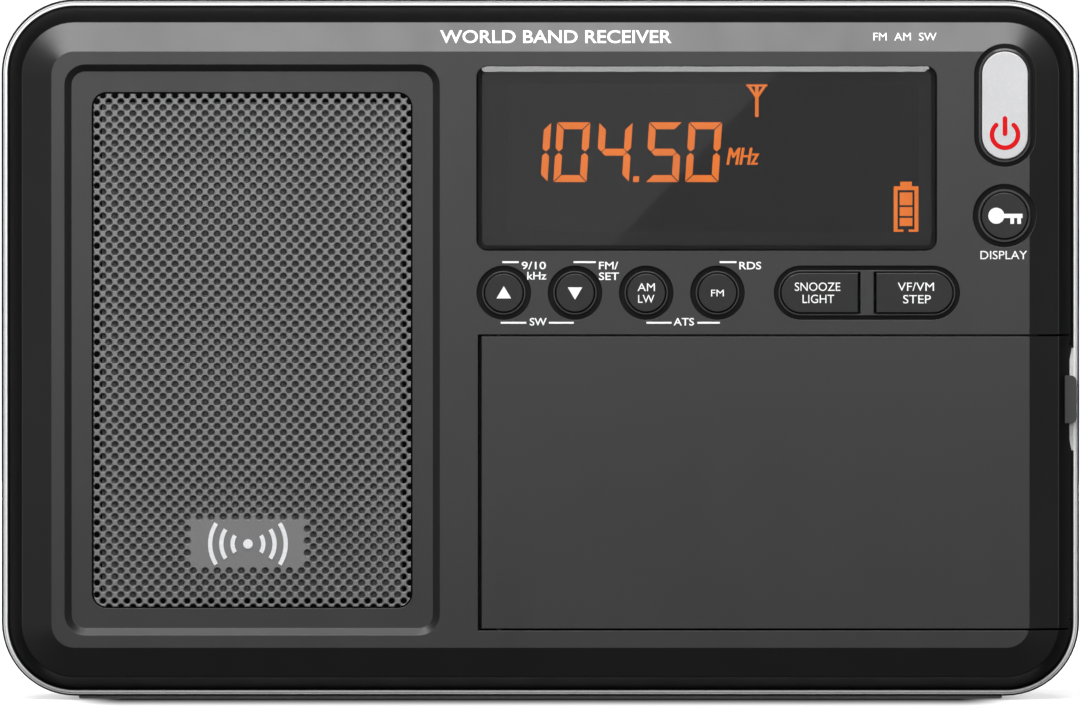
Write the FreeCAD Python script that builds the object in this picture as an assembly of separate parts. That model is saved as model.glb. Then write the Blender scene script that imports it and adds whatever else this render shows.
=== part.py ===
import FreeCAD, Part

import math
import os

# Portable shortwave receiver, as an assembly of separate pieces.
# Millimetres. X runs to the right of the front face, Y from front to back, Z up.
# The origin is the middle of the base: the receiver stands on its foot strip at Z = 0.

V = FreeCAD.Vector
OUT = "parts"
FIT = 0.1  # gap between a part and the opening that it drops into
TINY = 0.02

# ---------------------------------------------------------------- case outline
HALF_WIDTH = 70.0
CASE_BOTTOM = 0.4
CASE_TOP = 90.9
CORNER_R = 9.6

Y_FACE = -14.0  # flat front face
Y_BEVEL = -12.0  # back of the fascia, foot of the bevel
Y_PLATE_BACK = -10.2  # back of the front case's plate
Y_RIM_FRONT = -7.6
Y_RIM_BACK = -4.8
Y_BACK = 14.5

RIM_INSET = 0.2
RIM_WIDTH = 2.9
RIM_ROUND = 0.12
RIM_GROOVES = ((0.38, 0.5, 0.14), (0.87, 1.2, 0.5))  # inset of the two sides, and depth
SKIRT_INSET = 1.0
BEVEL_INSET = 2.75
FACE_INSET = 6.6
FACE_DROP = 0.13  # the front face sits this much below the middle of the case
REAR_TAPER = 1.6
REAR_ROUND = 4.0
WALL = 2.0

# ---------------------------------------------------------------- front face
# Outlines are (x0, x1, z0, z1, corner radius).
SPEAKER_RECESS = (-61.7, -13.05, 8.5, 82.5, 2.7)
RECESS_DEPTH = 0.8
RECESS_SLOPE = 0.9  # width of the sloped wall of the recess
GRILLE_OPENING = (-58.15, -16.6, 12.0, 78.9, 1.9)
GRILLE_GAP = 0.22
GRILLE_SHEET = 0.6
GRILLE_LIP = 1.0

LENS = (-8.24, 51.33, 58.4, 82.25, 1.4)
LENS_PROUD = 0.5
LENS_CHAMFER = 0.68
LCD = (-5.0, 49.6, 60.2, 80.6, 0.4)
LCD_FRAME_MARGIN = (2.0, 0.5, 1.6)  # left, right, top and bottom

KEY_ROW_Z = 52.9
KEY_PITCH = 9.23
KEY_FIRST_X = -4.75
KEY_R = 2.5
KEY_PROUD = 0.3
KEY_GAP = 0.13
KEY_LIP = 0.2
MOAT_OUTER_R = 3.52
MOAT_DEPTH = 0.9
SURROUND_THICK = 0.35

LOCK_X = 60.15
LOCK_Z = 62.9
LOCK_R = 3.0
LOCK_MOAT_R = 4.1

POWER_X = 60.2
POWER_Z = 77.2
POWER_R = 2.97
POWER_HALF = 4.0  # half of the straight length of the capsule
POWER_MOAT_R = 3.97
POWER_PROUD = 0.45

PAIR_X = 42.32
PAIR_HALF = 8.54
PAIR_R = 2.6
PAIR_MOAT_R = 3.51
PAIR_BAR = (41.47, 43.2)
PAIR_CAP_EDGES = (41.2, 43.5)

KEY_FLANGE = 0.55  # how far the flange reaches past the cap
FLANGE_FRONT = -10.15
FLANGE_BACK = -9.4
STEM_R = 0.8
STEM_END = -6.8

# ---------------------------------------------------------------- door and key deck
DOOR_OPENING = (-8.1, 47.5, 9.1)  # left edge, top, bottom
DOOR_GAP = 0.27
DOOR_AXIS_X = -5.4
DOOR_AXIS_Y = -13.0
DOOR_PIN_R = 0.55
DOOR_PIN_HALF = 1.6
DOOR_PIN_CLEAR = 0.05
DOOR_EDGE_BACK = -7.75
DOOR_EDGE_WALL = 1.4
DOOR_FLANGE = (56.0, 66.0, 0.8)  # from x, to x, thickness
DOOR_LAP = (1.2, -8.6)  # height of the case's ledge behind each end of the door's side, and its front
NOTCH_X = 68.68
NOTCH_Z = (32.0, 33.75, 44.15, 45.8)
TAB = (66.9, 69.6, -10.0, -8.0, 35.9, 42.1)
TAB_ROUND = 0.8

DECK_FRONT = -9.8
DECK_THICK = 1.4
DECK_RIGHT = 64.6
DECK_WALL = 1.5
DECK_WALL_RIGHT = 2.0
DECK_LEDGE = 0.8
SMALL_KEY_COLUMNS = (12.0, 28.0, 44.0)
SMALL_KEY_ROWS = (20.0, 35.5)
SMALL_KEY_SIZE = (9.0, 4.6, 1.6)  # width, height, corner radius
SMALL_KEY_PROUD = 1.2
SMALL_KEY_NAMES = (("world_key", "memory_key", "delete_key"), ("time_key", "alarm_key", "auto_key"))

# ---------------------------------------------------------------- board and display module
BOARD_FRONT = -6.1
BOARD_BACK = -4.9
BOARD = (-12.0, 65.5, 7.0, 84.5)
BOARD_SCREWS = ((-9.5, 55.5), (-9.5, 80.5), (53.0, 70.0), (56.5, 56.0))
SWITCH_SIDE = 5.0
SWITCH_HOLE = 1.15

ROD_Y = 1.0  # axis of the ferrite rod
ROD_Z = 76.4
ROD_R = 4.0
ROD_RIBS = (-6.0, 42.0)

# ---------------------------------------------------------------- speaker
SPEAKER_X = -37.4
SPEAKER_Z = 45.4
SPEAKER_R = 20.0
MAGNET_R = 10.0
SPEAKER_SCREW_R = 22.0  # distance of each screw from the speaker's axis
SPEAKER_FLANGE = (-10.2, -9.2)

# ---------------------------------------------------------------- batteries
CELL_R = 7.1
CELL_BODY = 49.2
CELL_NUB = (2.6, 1.0)
CELL_PITCH = 14.6
CELL_Y = 4.2
TUB = (0.0, 44.6, -3.1, 12.4, 9.6, 65.6)
TUB_WALL = 1.2
BATTERY_DOOR = (-1.4, 46.0, 8.2, 67.0, 2.0)
BATTERY_DOOR_BACK = Y_BACK - 1.6
SPRING_R = 2.7
SPRING_WIRE = 0.3
SPRING_TURNS = 4

# ---------------------------------------------------------------- thumb wheels
WHEEL_X = 60.9
WHEEL_Z = (46.0, 66.0)
WHEEL_R = 9.0
WHEEL_Y = (2.0, 5.6)
WHEEL_NOTCHES = 36
WHEEL_SHAFT_R = 1.5

# ---------------------------------------------------------------- sockets in the left side
SOCKET_Y = 4.0
SOCKET_BACK = 8.2  # both sockets sit on a rib of the rear case here
PHONE_Z = 31.0
PHONE_BORE_R = 1.8
POWER_IN_Z = 18.0
POWER_IN_R = 2.8

# ---------------------------------------------------------------- stand
STAND = (-51.5, -22.5, 13.5, 58.0)  # x0, x1, free end z, hinge axis z
STAND_AXIS_Y = Y_BACK - 1.15
STAND_THICK = 1.9
STAND_PIN_R = 0.8
STAND_RECESS_Y = Y_BACK - 2.3
LABEL_RECESS = (-50.0, -24.0, 64.5, 75.5, 1.5)

# ---------------------------------------------------------------- telescopic antenna
STEP_Y = 6.6  # the ledge for the antenna starts here, and is open above and behind
STEP_Z = 83.4
ANTENNA_Y = 10.1
ANTENNA_Z = 86.8
SWIVEL_X = 58.0
ELBOW_X = 52.0
TUBE_RADII = (2.5, 2.0, 1.5, 1.0)
TUBE_WALL = 0.35
TUBE_LEFT = -54.0

# ---------------------------------------------------------------- case screws
SCREW_POSTS = ((-62.5, 10.5), (62.0, 10.5), (-62.5, 79.0), (53.2, 77.5))
POST_CLEAR_R = 3.5
SCREW_HEAD_Y = 2.6


# ================================================================ helpers
def box(x0, x1, y0, y1, z0, z1):
    return Part.makeBox(x1 - x0, y1 - y0, z1 - z0, V(x0, y0, z0))


def rod_x(y, z, r, x0, x1):
    return Part.makeCylinder(r, x1 - x0, V(x0, y, z), V(1, 0, 0))


def rod_y(x, z, r, y0, y1):
    return Part.makeCylinder(r, y1 - y0, V(x, y0, z), V(0, 1, 0))


def rod_z(x, y, r, z0, z1):
    return Part.makeCylinder(r, z1 - z0, V(x, y, z0), V(0, 0, 1))


def inset(outline, d, drop=0.0):
    x0, x1, z0, z1, r = outline
    return (x0 + d, x1 - d, z0 + d - drop, z1 - d - drop, max(r - d, 0.05))


def rounded_wire(outline, y):
    """Closed rounded rectangle in the plane at y, always started at the same corner."""
    x0, x1, z0, z1, r = outline
    k = r * (1 - math.sqrt(0.5))
    corners = ((x0, z0, 1, 1), (x1, z0, -1, 1), (x1, z1, -1, -1), (x0, z1, 1, -1))
    arcs = []
    for n, (x, z, sx, sz) in enumerate(corners):
        upright = V(x, y, z + sz * r)
        level = V(x + sx * r, y, z)
        middle = V(x + sx * k, y, z + sz * k)
        first, last = (upright, level) if n % 2 == 0 else (level, upright)
        arcs.append((first, middle, last))
    edges = []
    for n, (first, middle, last) in enumerate(arcs):
        edges.append(Part.Arc(first, middle, last).toShape())
        edges.append(Part.LineSegment(last, arcs[(n + 1) % 4][0]).toShape())
    return Part.Wire(edges)


def rounded_prism(outline, y0, y1):
    return Part.Face(rounded_wire(outline, y0)).extrude(V(0, y1 - y0, 0))


def rounded_loft(outline0, y0, outline1, y1):
    return Part.makeLoft([rounded_wire(outline0, y0), rounded_wire(outline1, y1)], True, True)


def rounded_ring(outer, inner, y0, y1):
    return rounded_prism(outer, y0, y1).cut(rounded_prism(inner, y0 - 1, y1 + 1))


def capsule(x, z, half, r, y0, y1, upright=False):
    """Stadium-shaped prism: half is half of its straight length."""
    if upright:
        return rounded_prism((x - r, x + r, z - half - r, z + half + r, r - TINY / 10), y0, y1)
    return rounded_prism((x - half - r, x + half + r, z - r, z + r, r - TINY / 10), y0, y1)


def fuse(first, *others):
    return first.fuse(list(others)).removeSplitter()


def cut(shape, *tools):
    return shape.cut(list(tools))


def turned(points, x, z):
    """Solid of revolution about the Y axis through (x, z). Points are (radius, y)."""
    wire = Part.makePolygon([V(x + r, y, z) for r, y in points + points[:1]])
    return Part.Face(wire).revolve(V(x, 0, z), V(0, 1, 0), 360)


def fillet_where(shape, radius, test):
    edges = [e for e in shape.Edges if test(e.BoundBox)]
    return shape.makeFillet(radius, edges)


def save(name, *shapes):
    shape = shapes[0] if len(shapes) == 1 else Part.makeCompound(list(shapes))
    for solid in shape.Solids:
        if not solid.isValid() or solid.Volume <= 0:
            raise ValueError("bad solid in " + name)
    shape.exportStep(os.path.join(OUT, name + ".step"))


REAR_EDGE = (-HALF_WIDTH, HALF_WIDTH, CASE_BOTTOM, CASE_TOP, CORNER_R)
SKIRT_EDGE = inset(REAR_EDGE, SKIRT_INSET)
BEVEL_EDGE = inset(REAR_EDGE, BEVEL_INSET, FACE_DROP)
FACE_EDGE = inset(REAR_EDGE, FACE_INSET, FACE_DROP)
ROUND_KEY_X = [KEY_FIRST_X + n * KEY_PITCH for n in range(4)]
ROUND_KEYS = ("up_button", "down_button", "am_lw_button", "fm_button")
OUTSIDE = CASE_TOP + 20.0


def door_box(y0, y1, gap=0.0):
    left, top, bottom = DOOR_OPENING
    return box(left + gap, OUTSIDE, y0, y1, bottom + gap, top - gap)


def front_holes(y0, y1, grow=0.0):
    """The holes that the eight front buttons slide in."""
    g = KEY_GAP + grow
    holes = [rod_y(x, KEY_ROW_Z, KEY_R + g, y0, y1) for x in ROUND_KEY_X]
    holes.append(rod_y(LOCK_X, LOCK_Z, LOCK_R + g, y0, y1))
    holes.append(capsule(POWER_X, POWER_Z, POWER_HALF, POWER_R + g, y0, y1, upright=True))
    pair = capsule(PAIR_X, KEY_ROW_Z, PAIR_HALF, PAIR_R + g, y0, y1)
    bar = box(PAIR_BAR[0], PAIR_BAR[1], y0, y1, KEY_ROW_Z - 5, KEY_ROW_Z + 5)
    holes.append(cut(pair, bar))
    return holes


def moats(y0, y1):
    """Ring-shaped grooves round the buttons."""
    rings = []
    for x in ROUND_KEY_X:
        ring = rod_y(x, KEY_ROW_Z, MOAT_OUTER_R, y0, y1)
        rings.append(ring.cut(rod_y(x, KEY_ROW_Z, KEY_R + KEY_GAP + KEY_LIP, y0, y1)))
    ring = rod_y(LOCK_X, LOCK_Z, LOCK_MOAT_R, y0, y1)
    rings.append(ring.cut(rod_y(LOCK_X, LOCK_Z, LOCK_R + KEY_GAP + 1.5 * KEY_LIP, y0, y1)))
    ring = capsule(POWER_X, POWER_Z, POWER_HALF, POWER_MOAT_R, y0, y1, upright=True)
    inner = POWER_R + KEY_GAP + 1.5 * KEY_LIP
    rings.append(ring.cut(capsule(POWER_X, POWER_Z, POWER_HALF, inner, y0, y1, upright=True)))
    ring = capsule(PAIR_X, KEY_ROW_Z, PAIR_HALF, PAIR_MOAT_R, y0, y1)
    inner = PAIR_R + KEY_GAP + KEY_LIP
    rings.append(ring.cut(capsule(PAIR_X, KEY_ROW_Z, PAIR_HALF, inner, y0, y1)))
    return rings


# ================================================================ front of the case
def front_fascia():
    body = rounded_loft(BEVEL_EDGE, Y_BEVEL, FACE_EDGE, Y_FACE)
    floor_y = Y_FACE + RECESS_DEPTH
    above = 0.4
    slope = RECESS_SLOPE / RECESS_DEPTH
    recess = rounded_loft(
        inset(SPEAKER_RECESS, RECESS_SLOPE), floor_y, inset(SPEAKER_RECESS, -above * slope), Y_FACE - above
    )
    body = cut(body, recess)
    body = cut(body, rounded_prism(GRILLE_OPENING, Y_FACE - 1, Y_BEVEL + 1))
    body = cut(body, rounded_prism(inset(LENS, -FIT / 2), Y_FACE - 1, Y_BEVEL + 1))
    body = cut(body, *front_holes(Y_FACE - 1, Y_BEVEL + 1))
    body = cut(body, *moats(Y_FACE - 1, Y_FACE + MOAT_DEPTH))
    body = cut(body, door_box(Y_FACE - 1, Y_BEVEL + 1))
    return cut(body, *door_pin_rods(DOOR_PIN_R + DOOR_PIN_CLEAR, DOOR_PIN_HALF + FIT))


def button_surrounds():
    floor_y = Y_FACE + MOAT_DEPTH
    within = rounded_loft(BEVEL_EDGE, Y_BEVEL, FACE_EDGE, Y_FACE)
    return [ring.common(within) for ring in moats(floor_y - SURROUND_THICK, floor_y)]


def front_case():
    skirt = rounded_loft(SKIRT_EDGE, Y_RIM_FRONT, BEVEL_EDGE, Y_BEVEL)
    hollow = rounded_loft(inset(SKIRT_EDGE, WALL), Y_RIM_FRONT, inset(BEVEL_EDGE, WALL), Y_PLATE_BACK)
    body = cut(skirt, hollow)
    left, top, bottom = DOOR_OPENING
    right = DECK_RIGHT + DECK_WALL_RIGHT
    ledge_y = DECK_FRONT + DECK_THICK
    wall = DECK_WALL
    lap, lap_y = DOOR_LAP
    tray = box(left - wall, right, Y_PLATE_BACK, ledge_y + DECK_LEDGE, bottom - wall, top + wall)
    posts = [rod_y(x, z, 2.9, Y_PLATE_BACK, 0.4) for x, z in SCREW_POSTS]
    board_posts = [rod_y(x, z, 2.0, Y_PLATE_BACK, BOARD_FRONT) for x, z in BOARD_SCREWS]
    speaker_places = speaker_screw_places()
    speaker_posts = [rod_y(x, z, 1.7, Y_PLATE_BACK, SPEAKER_FLANGE[1]) for x, z in speaker_places]
    body = fuse(body, tray, *posts, *board_posts, *speaker_posts)
    body = cut(
        body,
        box(left, OUTSIDE, Y_FACE, DECK_FRONT, bottom, top),
        box(right, OUTSIDE, Y_FACE, lap_y, bottom, top),
        box(right, OUTSIDE, Y_FACE, Y_RIM_FRONT + 1, bottom + lap, top - lap),
        box(left, DECK_RIGHT, Y_FACE, ledge_y, bottom, top),
        box(left + 2, DECK_RIGHT - 2, Y_FACE, 0, bottom + 2, top - 2),
    )
    window = rounded_prism(inset(LCD, -FIT), Y_FACE, 0)
    throat = rod_y(SPEAKER_X, SPEAKER_Z, SPEAKER_R - 2.4, Y_FACE, 0)
    pilots = [rod_y(x, z, 1.12, -8.0, 1) for x, z in SCREW_POSTS]
    board_pilots = [rod_y(x, z, 0.82, -9.6, 0) for x, z in BOARD_SCREWS]
    speaker_pilots = [rod_y(x, z, 0.72, -11.7, 0) for x, z in speaker_places]
    body = cut(body, window, throat, *front_holes(Y_FACE, Y_PLATE_BACK + 0.01, TINY))
    return cut(body, *pilots, *board_pilots, *speaker_pilots)


def rim_trim():
    """Silver band between the two halves. One fine groove runs along it and one along its seam."""
    band = rounded_prism(inset(REAR_EDGE, RIM_INSET), Y_RIM_FRONT, Y_RIM_BACK)
    band = fillet_where(band, RIM_ROUND, lambda b: b.YLength < 0.01)
    inner = rounded_prism(inset(REAR_EDGE, RIM_INSET + RIM_WIDTH), Y_RIM_FRONT - 1, Y_RIM_BACK + 1)
    grooves = []
    for first, second, depth in RIM_GROOVES:
        outer_edge = inset(REAR_EDGE, first)
        inner_edge = inset(REAR_EDGE, second)
        grooves.append(rounded_ring(outer_edge, inner_edge, Y_RIM_FRONT - 1, Y_RIM_FRONT + depth))
    return cut(band, inner, *grooves)


# ================================================================ grille and speaker
def grille_sheet():
    outer = inset(GRILLE_OPENING, GRILLE_GAP)
    front = Y_FACE + RECESS_DEPTH + 0.15
    sheet = rounded_prism(outer, front, Y_BEVEL)
    pocket = rounded_prism(inset(outer, GRILLE_LIP), front + GRILLE_SHEET, Y_BEVEL + 1)
    return sheet.cut(pocket)


def grille_cloth():
    front = Y_FACE + RECESS_DEPTH + 0.15 + GRILLE_SHEET
    outline = inset(GRILLE_OPENING, GRILLE_GAP + GRILLE_LIP + FIT)
    return rounded_prism(outline, front, Y_BEVEL)


def speaker_screw_places():
    reach = SPEAKER_SCREW_R * math.sqrt(0.5)
    signs = ((-1, -1), (1, -1), (-1, 1), (1, 1))
    return [(SPEAKER_X + sx * reach, SPEAKER_Z + sz * reach) for sx, sz in signs]


def speaker_frame():
    """Pressed basket: a flat flange, a sloped wall with windows and a rear plate."""
    front, back = SPEAKER_FLANGE
    profile = [
        (SPEAKER_R, front), (SPEAKER_R, back), (17.9, back), (11.6, -4.4), (11.6, -3.4),
        (3.6, -3.4), (3.6, -4.4), (10.6, -4.4), (17.1, -9.6), (17.1, front),
    ]
    frame = turned(profile, SPEAKER_X, SPEAKER_Z)
    windows = []
    for n in range(4):
        slot = box(SPEAKER_X + 11.9, SPEAKER_X + 17.0, -9.0, -4.9, SPEAKER_Z - 5, SPEAKER_Z + 5)
        slot.rotate(V(SPEAKER_X, 0, SPEAKER_Z), V(0, 1, 0), 90 * n)
        windows.append(slot)
    return cut(frame, *windows)


def speaker_cone():
    """Paper cone with its roll surround and dust cap, in one thin shell."""
    roll = [(17.06, -10.1), (16.3, -10.7), (15.6, -10.9), (14.9, -10.7), (14.3, -10.1)]
    cone = [(5.0, -6.3), (4.0, -7.4), (2.2, -8.1), (0.0, -8.3)]
    back = [(0.0, -7.9), (2.1, -7.7), (3.8, -7.0), (4.8, -5.9)]
    under = [(14.2, -9.7), (14.9, -10.3), (15.6, -10.5), (16.3, -10.3), (17.06, -9.75)]
    return turned(roll + cone + back + under, SPEAKER_X, SPEAKER_Z)


def speaker_magnet():
    yoke = rod_y(SPEAKER_X, SPEAKER_Z, MAGNET_R, -3.4, 3.0)
    step = rod_y(SPEAKER_X, SPEAKER_Z, MAGNET_R + 0.7, -2.4, 1.8)
    pole = rod_y(SPEAKER_X, SPEAKER_Z, 3.2, -5.6, 0)
    return fuse(yoke, step, pole)


def speaker_screws():
    """Their wide heads hold the speaker's flange against the case."""
    seat = SPEAKER_FLANGE[1]
    screws = []
    for x, z in speaker_screw_places():
        head = rod_y(x, z, 2.6, seat, seat + 0.9)
        shank = rod_y(x, z, 0.7, seat - 2.4, seat + 0.5)
        slot = box(x - 1.5, x + 1.5, seat + 0.5, seat + 1.0, z - 0.25, z + 0.25)
        screws.append(cut(fuse(head, shank), slot))
    return screws


# ================================================================ display
def display_lens():
    """Clear window that stands proud of the face, with a sloped edge all round."""
    base = rounded_prism(LENS, Y_FACE, Y_BEVEL)
    slope = rounded_loft(LENS, Y_FACE, inset(LENS, LENS_CHAMFER), Y_FACE - LENS_PROUD)
    return fuse(base, slope)


def lcd_glass():
    return rounded_prism(LCD, -11.9, -10.3)


def lcd_backlight():
    x0, x1, z0, z1, r = inset(LCD, 0.6)
    return rounded_prism((x0, x1, z0 + 2.6, z1, r), -10.3, -8.4)


def lcd_frame():
    """Moulded carrier behind the glass: a pocket for the light guide, a slot for the strip, four legs."""
    x0, x1, z0, z1, r = LCD
    left, right, ends = LCD_FRAME_MARGIN
    shell = rounded_prism((x0 - left, x1 + right, z0 - ends, z1 + ends, 1.0), Y_PLATE_BACK, -7.6)
    pocket = rounded_prism(inset((x0, x1, z0 + 2.4, z1, r), 0.5), Y_PLATE_BACK - 1, -8.4)
    slot = box(x0 + 2, x1 - 2, Y_PLATE_BACK - 1, 0, z0 + 0.2, z0 + 1.9)
    legs = []
    for x in (x0 - left + 1, x1 + right - 1):
        for z in (z0 + 3, z1 - 3):
            legs.append(box(x - 1, x + 1, -7.6, BOARD_FRONT, z - 1, z + 1))
    return cut(fuse(shell, *legs), pocket, slot)


def lcd_connector():
    x0, x1, z0, z1, r = LCD
    return box(x0 + 2.2, x1 - 2.2, -10.3, BOARD_FRONT, z0 + 0.3, z0 + 1.8)


# ================================================================ front buttons
def button(cap, flange, x, z, front):
    """A cap that shows, a flange that keeps it in the case and a stem that works the switch."""
    stem = rod_y(x, z, STEM_R, FLANGE_BACK, STEM_END)
    body = fuse(cap, flange, stem)
    return fillet_where(body, 0.14, lambda b: b.YLength < 0.01 and abs(b.YMin - front) < 0.01)


def round_button(x, z, r, proud):
    front = Y_FACE - proud
    cap = rod_y(x, z, r, front, FLANGE_FRONT)
    flange = rod_y(x, z, r + KEY_FLANGE, FLANGE_FRONT, FLANGE_BACK)
    return button(cap, flange, x, z, front)


def power_button():
    front = Y_FACE - POWER_PROUD
    wide = POWER_R + KEY_FLANGE
    cap = capsule(POWER_X, POWER_Z, POWER_HALF, POWER_R, front, FLANGE_FRONT, upright=True)
    flange = capsule(POWER_X, POWER_Z, POWER_HALF, wide, FLANGE_FRONT, FLANGE_BACK, upright=True)
    return button(cap, flange, POWER_X, POWER_Z, front)


def pair_button(side):
    """One of the two D-shaped buttons that share a capsule-shaped well."""
    front = Y_FACE - KEY_PROUD
    edge = PAIR_CAP_EDGES[0] if side < 0 else PAIR_CAP_EDGES[1]
    x = PAIR_X + side * (PAIR_HALF + PAIR_R) * 0.56
    other = box(edge, OUTSIDE, -20, 0, 40, 60) if side < 0 else box(-OUTSIDE, edge, -20, 0, 40, 60)
    cap = capsule(PAIR_X, KEY_ROW_Z, PAIR_HALF, PAIR_R, front, FLANGE_FRONT)
    flange = capsule(PAIR_X, KEY_ROW_Z, PAIR_HALF, PAIR_R + KEY_FLANGE, FLANGE_FRONT, FLANGE_BACK)
    return button(cap.cut(other), flange.cut(other), x, KEY_ROW_Z, front)


def stem_places():
    """Where each front button's stem meets its switch."""
    places = [(x, KEY_ROW_Z) for x in ROUND_KEY_X]
    places += [(LOCK_X, LOCK_Z), (POWER_X, POWER_Z)]
    places += [(PAIR_X + s * (PAIR_HALF + PAIR_R) * 0.56, KEY_ROW_Z) for s in (-1, 1)]
    return places


# ================================================================ door
def door_pin_rods(r, half):
    left, top, bottom = DOOR_OPENING
    middles = (top - DOOR_GAP / 2, bottom + DOOR_GAP / 2)
    return [rod_z(DOOR_AXIS_X, DOOR_AXIS_Y, r, z - half, z + half) for z in middles]


def door_panel():
    panel = rounded_loft(BEVEL_EDGE, Y_BEVEL, FACE_EDGE, Y_FACE)
    panel = panel.common(door_box(Y_FACE - 1, Y_BEVEL, DOOR_GAP))
    nose = rod_z(DOOR_AXIS_X, DOOR_AXIS_Y, DOOR_AXIS_X - DOOR_OPENING[0] - DOOR_GAP, 0, OUTSIDE)
    square_end = box(-OUTSIDE, DOOR_AXIS_X, -20, 0, 0, OUTSIDE).cut(nose)
    return cut(panel, square_end, *door_pin_rods(DOOR_PIN_R, DOOR_PIN_HALF))


def door_edge():
    """Black wrap-round side of the door, with the finger notch and a flange glued behind the panel."""
    skirt = rounded_loft(SKIRT_EDGE, Y_RIM_FRONT, BEVEL_EDGE, Y_BEVEL)
    hollow = rounded_loft(
        inset(SKIRT_EDGE, DOOR_EDGE_WALL), Y_RIM_FRONT, inset(BEVEL_EDGE, DOOR_EDGE_WALL), Y_BEVEL
    )
    x0, x1, thick = DOOR_FLANGE
    left, top, bottom = DOOR_OPENING
    lap, lap_y = DOOR_LAP
    wall = cut(skirt, hollow).common(door_box(Y_BEVEL, DOOR_EDGE_BACK, DOOR_GAP))
    wall = wall.common(box(60, OUTSIDE, -20, 0, 0, 60))
    reach = lap + DOOR_GAP
    for z0, z1 in ((bottom, bottom + reach), (top - reach, top)):
        wall = wall.cut(box(60, OUTSIDE, lap_y - FIT, 0, z0, z1))
    flange = box(x0, x1, Y_BEVEL, Y_BEVEL + thick, bottom + 1.2, top - 1.2)
    notch = [V(NOTCH_X, 0, NOTCH_Z[1]), V(NOTCH_X, 0, NOTCH_Z[2])]
    notch += [V(OUTSIDE, 0, NOTCH_Z[3]), V(OUTSIDE, 0, NOTCH_Z[0])]
    mouth = [V(SKIRT_EDGE[1], 0, NOTCH_Z[3]), V(SKIRT_EDGE[1], 0, NOTCH_Z[0])]
    points = [notch[0], notch[1], mouth[0], notch[2], notch[3], mouth[1], notch[0]]
    cutter = Part.Face(Part.makePolygon(points)).extrude(V(0, 30, 0))
    cutter.translate(V(0, -20, 0))
    return cut(fuse(wall, flange), cutter, pull_tab())


def pull_tab():
    x0, x1, y0, y1, z0, z1 = TAB
    tab = box(x0, x1, y0, y1, z0, z1)
    return fillet_where(tab, TAB_ROUND, lambda b: b.XMin > x1 - 0.01 and b.ZLength < 0.01)


def small_key_places():
    return [(x, z) for z in SMALL_KEY_ROWS for x in SMALL_KEY_COLUMNS]


def small_key_outline(x, z, grow=0.0):
    w, h, r = SMALL_KEY_SIZE
    return inset((x - w / 2, x + w / 2, z - h / 2, z + h / 2, r), -grow)


def key_deck():
    left, top, bottom = DOOR_OPENING
    back = DECK_FRONT + DECK_THICK
    plate = box(left + FIT, DECK_RIGHT - FIT, DECK_FRONT, back, bottom + FIT, top - FIT)
    holes = [rounded_prism(small_key_outline(x, z, 0.15), -20, 0) for x, z in small_key_places()]
    return cut(plate, *holes)


def small_key(x, z):
    front = DECK_FRONT - SMALL_KEY_PROUD
    back = DECK_FRONT + DECK_THICK + 0.05
    cap = rounded_prism(small_key_outline(x, z), front, back)
    flange = rounded_prism(small_key_outline(x, z, 0.6), back, back + 0.5)
    stem = rod_y(x, z, STEM_R, back + 0.5, -6.7)
    body = fuse(cap, flange, stem)
    return fillet_where(body, 0.25, lambda b: b.YLength < 0.01 and abs(b.YMin - front) < 0.01)


# ================================================================ board and what is on it
def main_board():
    """Board with a hole round one of the case's posts and a notch in the corner for another."""
    x0, x1, z0, z1 = BOARD
    board = rounded_prism((x0, x1, z0, z1, 3.0), BOARD_FRONT, BOARD_BACK)
    hole_x, hole_z = SCREW_POSTS[3]
    hole = rod_y(hole_x, hole_z, POST_CLEAR_R, -20, 20)
    post_x, post_z = SCREW_POSTS[1]
    notch = box(post_x - POST_CLEAR_R, OUTSIDE, -20, 20, 0, post_z + POST_CLEAR_R)
    screw_holes = [rod_y(x, z, 0.95, -10, 0) for x, z in BOARD_SCREWS]
    return cut(board, hole, notch, *screw_holes)


def switch(x, z, front):
    half = SWITCH_SIDE / 2
    body = box(x - half, x + half, front, BOARD_FRONT, z - half, z + half)
    return body.cut(rod_y(x, z, SWITCH_HOLE, front - 1, BOARD_FRONT + 1))


def tact_switches():
    tall = [switch(x, z, -7.7) for x, z in stem_places()]
    low = [switch(x, z, -7.1) for x, z in small_key_places()]
    return tall + low


def board_components():
    chips = [
        box(4, 13, -7.1, BOARD_FRONT, 9.0, 16.0), box(20, 27, -7.0, BOARD_FRONT, 24.0, 31.0),
        box(36, 41, -6.9, BOARD_FRONT, 10.0, 15.0), box(-11.4, -7.6, -8.4, BOARD_FRONT, 62.0, 70.0),
    ]
    cans = [rod_y(x, 69.5, 2.2, BOARD_BACK, 0.5) for x in (-8.0, -3.0, 47.5)]
    crystal = box(48.5, 53.5, BOARD_BACK, -3.2, 20.0, 30.0)
    return chips + cans + [crystal]


def board_screws():
    screws = []
    for x, z in BOARD_SCREWS:
        head = rod_y(x, z, 1.8, BOARD_BACK, BOARD_BACK + 1.1)
        shank = rod_y(x, z, 0.8, -9.4, BOARD_BACK + 0.5)
        slot = box(x - 1.3, x + 1.3, BOARD_BACK + 0.7, BOARD_BACK + 1.2, z - 0.2, z + 0.2)
        screws.append(cut(fuse(head, shank), slot))
    return screws


def ferrite_rod(grow=0.0):
    return rod_x(ROD_Y, ROD_Z, ROD_R + grow, -9.0, 48.0)


def ferrite_coil():
    outer = rod_x(ROD_Y, ROD_Z, ROD_R + 0.7, 8.0, 30.0)
    return outer.cut(rod_x(ROD_Y, ROD_Z, ROD_R, 0, 40))


def wheel_encoders():
    bodies = []
    for z in WHEEL_Z:
        block = box(WHEEL_X - 4.5, WHEEL_X + 4.5, BOARD_BACK, 1.6, z - 5.5, z + 5.5)
        shaft = rod_y(WHEEL_X, z, WHEEL_SHAFT_R, 1.0, WHEEL_Y[1] + 0.6)
        bodies.append(fuse(block, shaft))
    return bodies


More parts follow.
